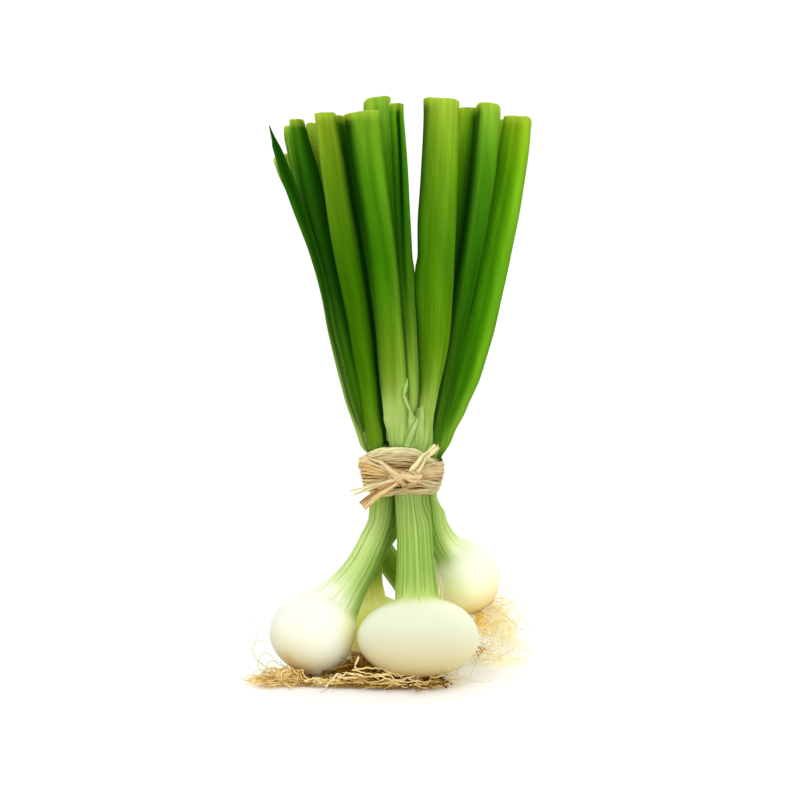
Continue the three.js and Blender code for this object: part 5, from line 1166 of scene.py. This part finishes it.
# a darker knot of curled roots against the bulb
add_roots(bag, rng, 20, (37, 6, 5), (2.2, 3, 2.0), 0, 180, (6, 11), climb=0.2, settle=0.1, wave=2.4, curl=0.2, r=(0.18, 0.3), floor=(1.0, 7.0), tones=[srgb(226, 184, 104), srgb(236, 206, 134), srgb(190, 146, 72)], dark=0.3)
for pts, r0 in [
    ([(52, 8, 14), (58, 7, 21), (62, 6, 29), (65, 6, 33)], 0.15), ([(52, 8, 8), (60, 6, 7), (66, 5, 4), (70, 4, 3.0)], 0.13),
    ([(54, 8, 18), (61, 6, 20), (67, 5, 14), (72, 4, 11)], 0.12), ([(50, 6, 24), (55, 5, 31), (58, 5, 35)], 0.13),
    ([(50, 6, 6), (44, 2, 4), (38, 0, 2.5), (34, -2, 1.2)], 0.18), ([(56, 6, 10), (62, 5, 16), (66, 4, 24), (63, 4, 27)], 0.13)]:
    place(bag, rng, pts, r0, r0 * 0.6, BRIGHT[rng.integers(4)], 0.5)
finish_piece(bag.build("rootlets_right", MAT_ROOT_PALE), "root", "roots_right")

# ---- rear tufts
for key, seed, c, rx, ry in (("rear_left", 404, (-14.4, 12.4, 2.0), 13, 11), ("rear", 505, (19, 44, 2.0), 12, 12)):
    rng = np.random.default_rng(seed)
    bag = Bag()
    add_roots(bag, rng, 130, c, (4.5, 4.5, 0.6), 0, 180, (8, 18), climb=0.1, wave=1.4, curl=0.08, r=(0.26, 0.46), floor=(0.4, 3.0), tones=GOLD_TONES + BED_TONES)
    add_roots(bag, rng, 40, (c[0], c[1], 3.2), (3, 3, 0.6), 0, 180, (10, 20), climb=0.5, settle=0.5, wave=1.8, curl=0.12, r=(0.14, 0.26), floor=(0.4, 4.0), tones=PALE_TONES)
    finish_piece(bag.build(f"rootlets_{key}", MAT_ROOT), "root", f"roots_{key}")


# ------------------------------------------------------------------ raffia
RAF = [srgb(224, 200, 150), srgb(214, 185, 130), srgb(198, 166, 110), srgb(229, 209, 165), srgb(184, 149, 94)]
CREAM = srgb(236, 227, 172)


class Ribbons(Bag):
    def ribbon(self, path, normal, width, colour, seed, across=9, thick=0.34, curve=0.25, twist=None, ridges=1.0, edge=None, fray=0):
        """A flat crumpled strand. path (n,3), normal (n,3), width scalar or (n)."""
        r = np.random.default_rng(seed)
        P = np.asarray(path, float)
        n = len(P)
        T = np.gradient(P, axis=0)
        T /= np.linalg.norm(T, axis=1)[:, None] + 1e-12
        Nn = np.asarray(normal, float)
        Nn = Nn - T * np.sum(T * Nn, 1)[:, None]
        Nn /= np.linalg.norm(Nn, axis=1)[:, None] + 1e-12
        B = np.cross(T, Nn)
        if twist is not None:
            tw = np.broadcast_to(twist, n)[:, None]
            Nn, B = Nn * np.cos(tw) + B * np.sin(tw), B * np.cos(tw) - Nn * np.sin(tw)
        W = np.broadcast_to(width, n)
        L = np.concatenate([[0], np.cumsum(np.linalg.norm(np.diff(P, axis=0), axis=1))])
        s = np.linspace(-1, 1, across)
        SS, LL = np.meshgrid(s, L)
        h = curve * W[:, None] * 0.5 * (1 - SS ** 2)
        for k in range(4):
            fq = r.uniform(3.5, 9.5)
            h += ridges * r.uniform(0.05, 0.13) * np.sin(fq * SS + r.uniform(0, 6.28) + r.uniform(0.05, 0.25) * LL)
        h += ridges * 0.10 * np.sin(LL * r.uniform(0.5, 0.9) + SS * 2 + r.uniform(0, 6.28))
        wob = 1 + 0.10 * np.sin(L * r.uniform(0.3, 0.6) + r.uniform(0, 6.28)) + 0.06 * np.sin(L * r.uniform(1.0, 1.8) + r.uniform(0, 6.28))
        half = (W * wob / 2)[:, None]
        top = P[:, None] + B[:, None] * (SS * half)[..., None] + Nn[:, None] * h[..., None]
        fold = thick * (1 - 0.75 * np.abs(s) ** 4)
        low = top - Nn[:, None] * fold[None, :, None]
        ring = np.concatenate([top, low[:, ::-1]], 1)
        m = 2 * across
        off = self.n
        self.v.append(ring.reshape(-1, 3))
        self.f += grid_faces(n, m, off, flip=True)
        self.f.append(tuple(off + j for j in range(m)))
        self.f.append(tuple(off + (n - 1) * m + j for j in range(m))[::-1])
        # painted light and shade: the crests of the crumples are lighter and the hollows darker, and the underside is
        # darker still
        col = np.broadcast_to(colour, (n, 3))[:, None] * (1 + 0.55 * (h - h.mean()) / (ridges * 0.3 + 0.2))[..., None].clip(0.72, 1.22)
        col = np.concatenate([col, col[:, ::-1] * 0.85], 1)
        if edge is not None:
            sw = np.concatenate([np.abs(SS), np.abs(SS[:, ::-1])], 1) ** 5
            col = col * (1 - 0.8 * sw[..., None]) + edge * 0.8 * sw[..., None]
        self.c.append(col.reshape(-1, 3))
        su = np.concatenate([s, s[::-1]]) * 0.5 + 0.5
        UU, VV = np.meshgrid(su * (W.mean() / 4.0) + r.uniform(0, 5), L / 40 + r.uniform(0, 5))
        self.uv.append(np.stack([UU.ravel(), VV.ravel()], 1))
        self.n += n * m


WRAP = [[82, 16.3, 1.5], [85, 16.5, 1.3], [89, 17.4, 1.0], [92, 18.2, 0.8], [94.5, 18.8, 0.6], [97, 18.8, 0.4], [100, 18.4, 0.5], [103, 18.2, 0.9], [108, 18.3, 1.0]]   # height, radius of the wrapped necks, middle


def ring_path(keys, n=150, lift=0.0, base=None):
    """keys: (angle from the front, height, extra radius). Returns path and outward normals."""
    k = np.array([(a, z, r) for a, z, r in keys], float)
    tr = Track(k)
    a = np.linspace(k[0, 0], k[-1, 0], n)
    v = tr(a)
    wr = np.array(WRAP)
    R = (np.interp(v[:, 0], wr[:, 0], wr[:, 1]) if base is None else base) + v[:, 1] + lift
    ar = np.radians(a)
    P = np.stack([np.interp(v[:, 0], wr[:, 0], wr[:, 2]) + R * np.sin(ar), TIE_CENTRE[1] - R * np.cos(ar), v[:, 0]], 1)
    Nn = np.stack([np.sin(ar), -np.cos(ar), np.zeros(n)], 1)
    return P, Nn


def band(front, back, r=0.0, rb=None):
    """A whole turn: front keys by angle (-90..90) and the height at the back."""
    rb = r if rb is None else rb
    keys = [(a, z, r) for a, z in front]
    a0, z0 = front[0]
    a1, z1 = front[-1]
    keys += [(135, (z1 + back) / 2 + 0.3, rb), (180, back, rb), (225, (z0 + back) / 2 - 0.3, rb)]
    keys += [(a0 + 360, z0, r)]
    return keys


rb = Ribbons()
rng = np.random.default_rng(77)
# a dark under layer, so no stem shows between the strands: painted shade in the gaps
for i, zc in enumerate([87.0, 89.4, 92.4, 95.4, 98.4, 101.0]):
    hi = smooth(94, 101, zc)
    P, Nn = ring_path([(-180, zc - 2.5 * hi, 0), (-90, zc - 2.0 * hi, 0), (0, zc + 1.6 * hi, 0), (90, zc - 3.4 * hi, 0), (180, zc - 2.5 * hi, 0)], 70, lift=-0.25)
    rb.ribbon(P, Nn, 3.9 if zc > 87 else 2.6, RAF[2] * 0.80 if zc > 97 else RAF[4] * 0.42, 700 + i, curve=0.06)
# whole turns: front heights by angle, height at the back, lift, width, tone
bands = [
    ([(-90, 99.3), (-65, 102.2), (-50, 104.2), (-32, 106.2), (-6, 107.1), (10, 106.8), (28, 104.8), (36, 103.2), (48, 100.6), (90, 97.8)], 98.8, 0.55, 1.7, CREAM),
    ([(-90, 99.0), (-65, 101.4), (-50, 103.2), (-32, 105.0), (-6, 105.9), (12, 105.5), (29, 103.6), (37, 102.0), (49, 99.9), (90, 97.4)], 98.2, 1.0, 1.6, CREAM * 0.94),
    ([(-90, 98.7), (-55, 102.0), (-32, 103.9), (-6, 104.6), (14, 104.1), (29, 102.5), (39, 101.0), (52, 99.4), (90, 97.0)], 97.6, 1.15, 1.5, RAF[0]),
    ([(-90, 99.2), (-52, 101.0), (-27, 102.7), (-6, 103.3), (14, 102.7), (37, 100.3), (52, 98.9), (90, 96.6)], 97.2, 0.8, 1.6, RAF[1]),
    ([(-90, 98.6), (-47, 100.2), (-25, 101.5), (-6, 102.0), (4, 101.9), (20, 100.9), (38, 99.3), (54, 98.3), (90, 96.4)], 97.4, 1.25, 1.4, RAF[0]),
    ([(-90, 97.8), (-47, 99.2), (-25, 100.2), (-6, 100.6), (4, 100.4), (20, 99.0), (38, 99.0), (54, 98.6), (90, 97.0)], 96.6, 0.95, 1.5, RAF[1]),
    ([(-90, 96.9), (-32, 98.9), (-16, 98.7), (4, 99.1), (20, 98.3), (38, 98.2), (58, 97.8), (90, 96.4)], 95.3, 0.75, 1.7, RAF[2]),
    ([(-90, 94.6), (-32, 96.4), (0, 96.8), (38, 96.6), (90, 94.6)], 93.6, 0.35, 2.0, RAF[4]),
    ([(-90, 86.9), (-43, 83.9), (-25, 84.6), (-11, 85.7), (9, 86.1), (31, 85.7), (57, 85.0), (90, 85.9)], 86.3, 0.45, 1.7, RAF[0]),
    ([(-90, 87.9), (-43, 84.9), (-25, 85.6), (-11, 86.7), (9, 87.2), (31, 87.0), (57, 86.2), (90, 87.0)], 87.5, 0.85, 1.4, RAF[3]),
    ([(-90, 88.9), (-32, 86.2), (-16, 87.2), (-1, 87.9), (14, 88.9), (26, 89.2), (38, 88.2), (58, 87.2), (90, 88.2)], 88.8, 1.05, 1.4, RAF[1]),
    ([(-90, 90.0), (-45, 88.6), (-7, 89.6), (9, 90.2), (26, 90.6), (44, 89.8), (90, 89.6)], 90.4, 0.6, 1.6, RAF[2]),
    ([(-90, 92.0), (-45, 91.0), (0, 91.6), (44, 92.0), (90, 91.8)], 92.0, 0.3, 2.0, RAF[4]),
]
for i, (front, back, lift, w, tone) in enumerate(bands):
    P, Nn = ring_path(band(front, back, lift, lift * 0.6 + 0.25), 156)
    f = np.linspace(0, 1, len(P))
    P = P + Nn * (0.22 * ripple(f * 40, 800 + i, [0.7, 1.6, 2.9], [0.6, 0.5, 0.3]))[:, None]
    P[:, 2] += 0.22 * ripple(f * 40, 900 + i, [0.5, 1.3, 2.3], [0.6, 0.5, 0.3])
    rb.ribbon(P, Nn, w, tone * rng.uniform(0.92, 1.05), 40 + i, curve=0.45, twist=0.22 * np.sin(f * rng.uniform(8, 20) + i), ridges=1.1)
# strands that start in the knot, go round the back, and come back to it
loops = [
    ([(-2, 94.8, 2.0), (-16, 97.0, 2.2), (-32, 98.9, 1.9), (-52, 100.2, 1.5), (-90, 99.4, 1.1)], 96.6, [(90, 98.4, 1.0), (75, 98.0, 1.3), (49, 98.9, 1.8), (31, 98.0, 2.1), (15, 95.6, 2.2)], 2.2, 2.4, RAF[0]),
    ([(-4, 94.3, 2.0), (-16, 95.6, 2.0), (-32, 97.1, 1.7), (-52, 97.9, 1.3), (-90, 97.0, 1.1)], 94.6, [(90, 96.9, 1.1), (75, 96.3, 1.4), (49, 97.4, 2.1), (31, 96.8, 2.4), (15, 95.3, 2.3)], 1.5, 2.8, RAF[1]),
    ([(-4, 94.0, 2.0), (-16, 94.9, 2.0), (-47, 96.2, 1.3), (-90, 95.2, 1.1)], 93.4, [(90, 95.4, 1.2), (75, 94.8, 1.5), (49, 95.9, 2.3), (31, 95.9, 2.5), (15, 94.9, 2.3)], 1.4, 2.9, RAF[0]),
    ([(-4, 93.7, 2.0), (-14, 94.1, 2.0), (-45, 94.6, 1.4), (-90, 93.4, 1.1)], 92.2, [(90, 93.9, 1.1), (75, 93.3, 1.4), (49, 94.3, 2.1), (31, 94.9, 2.4), (14, 94.4, 2.3)], 1.4, 2.7, RAF[1]),
    ([(-4, 93.4, 2.0), (-14, 93.4, 2.0), (-40, 93.1, 1.4), (-90, 91.9, 1.1)], 91.0, [(90, 92.0, 1.1), (68, 91.0, 1.4), (52, 92.3, 1.8), (35, 93.3, 2.2), (14, 93.6, 2.2)], 1.3, 2.2, RAF[2]),
    ([(-3, 93.1, 2.0), (-14, 92.8, 2.0), (-37, 91.7, 1.5), (-74, 90.3, 1.3), (-90, 90.3, 1.1)], 89.8, [(90, 90.2, 1.1), (68, 88.9, 1.5), (52, 90.0, 1.9), (35, 91.6, 2.2), (13, 92.9, 2.2)], 1.3, 1.9, RAF[0]),
    ([(-3, 92.8, 2.0), (-14, 92.0, 2.0), (-37, 90.4, 1.5), (-60, 89.0, 1.3), (-90, 89.0, 1.0)], 88.6, [(90, 88.6, 1.0), (61, 87.6, 1.5), (47, 88.4, 1.8), (31, 90.4, 2.2), (11, 91.9, 2.2)], 1.2, 1.7, RAF[3]),
]
for i, (left, back, right, wl, wr, tone) in enumerate(loops):
    keys = [(a, z, r) for a, z, r in right[::-1]]
    keys += [(135, (right[0][1] + back) / 2, 0.8), (180, back, 0.7), (225, (left[-1][1] + back) / 2, 0.8)]
    keys += [(a + 360, z, r) for a, z, r in left[::-1]]
    P, Nn = ring_path(keys, 176)
    f = np.linspace(0, 1, len(P))
    w = wr + (wl - wr) * smooth(0.12, 0.7, f)
    w = w * (0.50 + 0.50 * smooth(0, 0.08, f)) * (0.60 + 0.40 * smooth(1.0, 0.93, f))
    P = P + Nn * (0.18 * ripple(f * 50, 820 + i, [0.7, 1.6, 2.9], [0.6, 0.5, 0.3]))[:, None]
    tw = (1.0 * np.sin(np.clip((f - 0.85) / 0.1, 0, 1) * math.pi) if i == 0 else 0.35 * np.sin(f * 11 + i))
    rb.ribbon(P, Nn, w, tone * rng.uniform(0.93, 1.05), 60 + i, curve=0.45, twist=tw, ridges=1.25, across=11)
# loose threads over the wrap
for i in range(16):
    a0 = rng.uniform(-180, 180)
    span = rng.uniform(60, 170)
    z0 = rng.uniform(86, 102)
    zs_ = [z0, z0 + rng.uniform(-2.2, 2.2), z0 + rng.uniform(-2.5, 2.5)]
    zs_ = [min(max(q, 87.0), 97.0) for q in zs_]
    keys = [(a0, zs_[0], 0.9), (a0 + span * 0.5, zs_[1], 1.7), (a0 + span, zs_[2], 0.9)]
    if -35 < (a0 + span * 0.5 + 180) % 360 - 180 < 35:
        continue
    P, Nn = ring_path(keys, 70)
    rb.ribbon(P, Nn, rng.uniform(0.45, 0.9), RAF[rng.integers(4)] * rng.uniform(0.9, 1.06), 600 + i, curve=0.5, across=5, thick=0.22)


def front_path(pts, n=40):
    """Points (x, y, z) in front of the ring, with a forward normal."""
    P = catmull(pts, n)
    Nn = P - np.array([TIE_CENTRE[0], TIE_CENTRE[1] + 6, 0])
    Nn[:, 2] = 0
    Nn /= np.linalg.norm(Nn, axis=1)[:, None]
    return P, Nn


# knot: crossing wraps drawn tight, a rounded lump on the right
for i, (pts, w, tone, tw) in enumerate([
    ([(-5.2, -19.0, 96.8), (-2.8, -21.4, 96.6), (2, -22.6, 96.2), (6.4, -21.4, 95.6), (8.8, -18.8, 95.2)], 3.4, RAF[1], 0.0),
    ([(-5.2, -19.0, 94.2), (-2.6, -21.6, 94.0), (2, -23.0, 93.8), (6.4, -21.6, 93.6), (8.8, -18.8, 93.4)], 3.6, RAF[1], 0.0),
    ([(-4.6, -19.0, 91.6), (-2.2, -21.4, 91.6), (2, -22.4, 91.4), (5.6, -21.2, 91.2), (8.0, -18.8, 91.0)], 2.8, RAF[2], 0.0),
    ([(-16.9, -8.6, 101.6), (-14.9, -11.6, 101.6), (-11.6, -15.6, 101.3), (-8.2, -19.6, 100.4), (-4.0, -23.3, 97.6), (-0.8, -24.2, 95.1), (1.2, -24.1, 92.6), (1.6, -22.2, 90.4), (1.4, -19.6, 89.4)], 2.5, RAF[0], 0.15),
    ([(-8.5, -19.0, 98.8), (-6.0, -21.2, 97.6), (-3.6, -23.2, 95.8), (-1.8, -23.8, 93.6), (-1.4, -22.8, 91.4), (-1.6, -19.6, 89.8)], 2.0, RAF[3], -0.15),
    ([(2.6, -22.6, 97.4), (5.0, -24.4, 96.9), (7.2, -24.6, 95.6), (7.9, -23.9, 93.6), (6.4, -23.6, 91.9), (3.8, -22.6, 90.8), (1.8, -19.8, 90.4)], 2.7, RAF[0], -0.1),
    ([(-0.4, -22.2, 95.6), (2.4, -24.4, 95.1), (5.4, -24.9, 94.9), (8.2, -23.6, 94.6), (9.6, -21.2, 94.4)], 4.4, RAF[0], 0.0),
    ([(1.2, -21.5, 96.4), (3.2, -24.4, 95.9), (5.6, -25.0, 94.8), (6.8, -24.4, 93.2), (5.4, -23.8, 91.8), (3.4, -20.6, 90.6)], 2.3, RAF[1], 0.2),
    ([(-4.6, -20.4, 91.2), (-2.2, -23.0, 92.2), (0.4, -24.8, 93.7), (2.6, -25.3, 95.2), (4.6, -24.6, 96.6), (5.8, -21.6, 97.8)], 1.7, RAF[3], 0.35),
    ([(-3.6, -21.0, 97.4), (-1.0, -24.2, 96.2), (1.6, -25.2, 94.5), (4.4, -25.4, 93.2), (7.4, -24.0, 92.5), (10.2, -20.6, 92.0)], 1.6, RAF[0], 0.2),
    ([(-4.8, -20.6, 93.4), (-2.4, -23.4, 93.0), (0.2, -24.4, 92.0), (2.6, -23.8, 91.0), (4.4, -20.6, 90.2)], 1.5, RAF[1], -0.2),
]):
    P, Nn = front_path(pts, 44)
    f = np.linspace(0, 1, 44)
    rb.ribbon(P, Nn, w * (0.85 + 0.15 * np.sin(f * 8 + i)) * (0.7 + 0.3 * smooth(0, 0.15, f) * smooth(1, 0.85, f)), tone * rng.uniform(0.95, 1.05), 90 + i, curve=0.6, twist=tw, ridges=1.4, across=11, thick=0.4)
# painted light and shade on the tie: paler along the top and at the left, warmer and darker low down, a little darker
# on its right and in the knot
V, C = np.concatenate(rb.v), np.concatenate(rb.c)
left = (smooth(-5, -12, V[:, 0]) * smooth(86, 89, V[:, 2]) * smooth(101, 98, V[:, 2]))[:, None]
high = smooth(97, 102, V[:, 2])[:, None]
low = smooth(90, 87, V[:, 2])[:, None]
knot = (smooth(-6, -2, V[:, 0]) * smooth(-22.0, -23.5, V[:, 1]))[:, None]
side = smooth(9, 13, V[:, 0])[:, None]
rb.c = [C * (1 - 0.06 * knot) * (1 - side * np.array([0.10, 0.05, 0.02])) * (1 + left * np.array([0.24, 0.20, 0.10])) * (1 + high * np.array([0.05, 0.12, 0.20])) * (1 - low * np.array([0.13, 0.11, 0.20]))]
ob = rb.build("raffia_wrap", MAT_RAFFIA)
finish_piece(ob, "raffia", "raffia_turn_lower", "raffia_turn_middle", "raffia_turn_upper", "raffia_knot")

rb = Ribbons()
# right tail: two strands side by side over the upper band
P, Nn = front_path([(4.4, -22.6, 94.0), (4.9, -23.9, 96.8), (8.3, -22.9, 101.2), (10.4, -22.6, 104.0), (13.5, -21.9, 106.3), (16.4, -21.0, 109.2)], 52)
f = np.linspace(0, 1, 52)
rb.ribbon(P, Nn, 2.0 + 0.3 * np.sin(f * 7), CREAM, 120, curve=0.4, ridges=1.3, twist=0.25 * np.sin(f * 9))
P, Nn = front_path([(6.6, -22.6, 93.6), (7.6, -23.9, 96.2), (10.2, -22.8, 99.6), (12.2, -22.4, 103.0), (15.0, -21.6, 105.6), (18.0, -20.6, 108.1)], 52)
rb.ribbon(P, Nn, 2.0 + 0.25 * np.sin(f * 8 + 1), mixc(RAF[0], CREAM, 0.5), 121, curve=0.4, ridges=1.3, twist=-0.2 * np.sin(f * 8))
P, Nn = front_path([(9.4, -22.4, 100.6), (12.6, -22.2, 104.2), (16.2, -21.2, 107.4), (17.8, -20.6, 109.2)], 30)
rb.ribbon(P, Nn, 0.7, CREAM, 122, curve=0.4, across=5, thick=0.2)
finish_piece(rb.build("raffia_end_right", MAT_RAFFIA), "raffia", "raffia_tail_right")

rb = Ribbons()
P, Nn = front_path([(0.6, -22.6, 94.0), (-3.1, -23.6, 92.9), (-9.3, -22.6, 91.1), (-16.9, -21.0, 88.9), (-23.4, -19.8, 87.4)], 52)
rb.ribbon(P, Nn, np.interp(f, [0, 0.4, 1], [1.8, 1.7, 1.0]), mixc(np.broadcast_to(RAF[3], (52, 3)), np.broadcast_to(srgb(242, 236, 176), (52, 3)), smooth(0.3, 0.8, f)), 130, curve=0.4, twist=0.3 * np.sin(f * 9))
P, Nn = front_path([(0.4, -22.4, 92.4), (-4.1, -23.4, 91.2), (-8.9, -22.4, 90.0), (-16.2, -20.8, 87.7), (-21.7, -19.6, 85.5)], 52)
rb.ribbon(P, Nn, np.interp(f, [0, 0.4, 1], [1.7, 1.6, 1.0]), mixc(np.broadcast_to(RAF[0], (52, 3)), np.broadcast_to(srgb(240, 234, 178), (52, 3)), smooth(0.3, 0.8, f)), 131, curve=0.4, twist=0.3 * np.sin(f * 8 + 1))
finish_piece(rb.build("raffia_end_left_upper", MAT_RAFFIA), "raffia", "raffia_tail_left_upper")

rb = Ribbons()
brown = srgb(194, 140, 74)
gold = srgb(238, 204, 124)
for i, (off, w, tone, ln) in enumerate([(0.0, 3.8, RAF[0], 0.0), (1.5, 1.3, gold, 0.5), (0.5, 0.9, RAF[3], -0.5), (-0.5, 0.8, brown, 0.3), (-1.5, 1.3, gold, -0.3), (2.0, 0.8, brown, 0.9), (1.0, 0.5, brown * 0.8, 0.6), (-1.0, 0.6, RAF[3], 0.0)]):
    # off: sideways place across the tail
    px, pz = -0.55 * off, 0.83 * off
    P, Nn = front_path([(1.0, -22.6, 93.4), (-4.1 + px * 0.4, -24.0 - 0.06 * i, 90.5 + pz * 0.4), (-8.9 + px * 0.75, -23.9 - 0.08 * i, 87.3 + pz * 0.75), (-14.3 + px, -23.0 - 0.08 * i, 83.4 + pz), (-17.4 - ln * 0.4 + px, -22.2 - 0.05 * i, 80.4 + pz)], 52)
    rb.ribbon(P, Nn, w * (0.55 + 0.45 * smooth(0, 0.35, f)), tone, 140 + i, across=9, curve=0.3, ridges=1.3, edge=brown if i == 0 else None, thick=0.26, twist=0.15 * np.sin(f * 7 + i))
finish_piece(rb.build("raffia_end_left_lower", MAT_RAFFIA), "raffia", "raffia_tail_left_lower")


# ------------------------------------------------------------------ stage, light
def floor_material():
    m, nt, p = new_mat("PaleFloor")
    p.inputs['Base Color'].default_value = (0.975, 0.975, 0.975, 1)
    p.inputs['Roughness'].default_value = 0.55
    p.inputs['Specular IOR Level'].default_value = 0.25
    p.inputs['Emission Color'].default_value = (1.0, 0.96, 0.78, 1)
    p.inputs['Emission Strength'].default_value = 0.05
    return m


fm = bpy.data.meshes.new("Floor")
S2 = 6.0
fm.from_pydata([(-S2, -S2, -0.0002), (S2, -S2, -0.0002), (S2, S2, -0.0002), (-S2, S2, -0.0002)], [], [(0, 1, 2, 3)])
fm.materials.append(floor_material())
floor = bpy.data.objects.new("Floor", fm)
bpy.context.scene.collection.objects.link(floor)

world = bpy.data.worlds.new("Studio")
bpy.context.scene.world = world
world.use_nodes = True
bg = world.node_tree.nodes['Background']
bg.inputs[0].default_value = (1.0, 1.0, 1.0, 1)
bg.inputs[1].default_value = 1.05


def area(name, loc, target, size, power, color=(1, 1, 1)):
    d = bpy.data.lights.new(name, 'AREA')
    d.shape = 'DISK'
    d.size = size
    d.energy = power
    d.color = color
    ob = bpy.data.objects.new(name, d)
    ob.location = loc
    direction = Vector(target) - Vector(loc)
    ob.rotation_euler = direction.to_track_quat('-Z', 'Y').to_euler()
    bpy.context.scene.collection.objects.link(ob)
    return ob


area("Key", (-0.55, -1.1, 1.15), (0, 0, 0.12), 0.55, 3.2)
area("Fill", (1.1, -0.9, 0.6), (0, 0, 0.12), 0.9, 1.2)
area("Rim", (0.5, 1.0, 0.9), (0, 0, 0.15), 0.6, 1.0)
bpy.context.scene.view_settings.view_transform = 'Standard'
bpy.context.scene.view_settings.look = 'None'
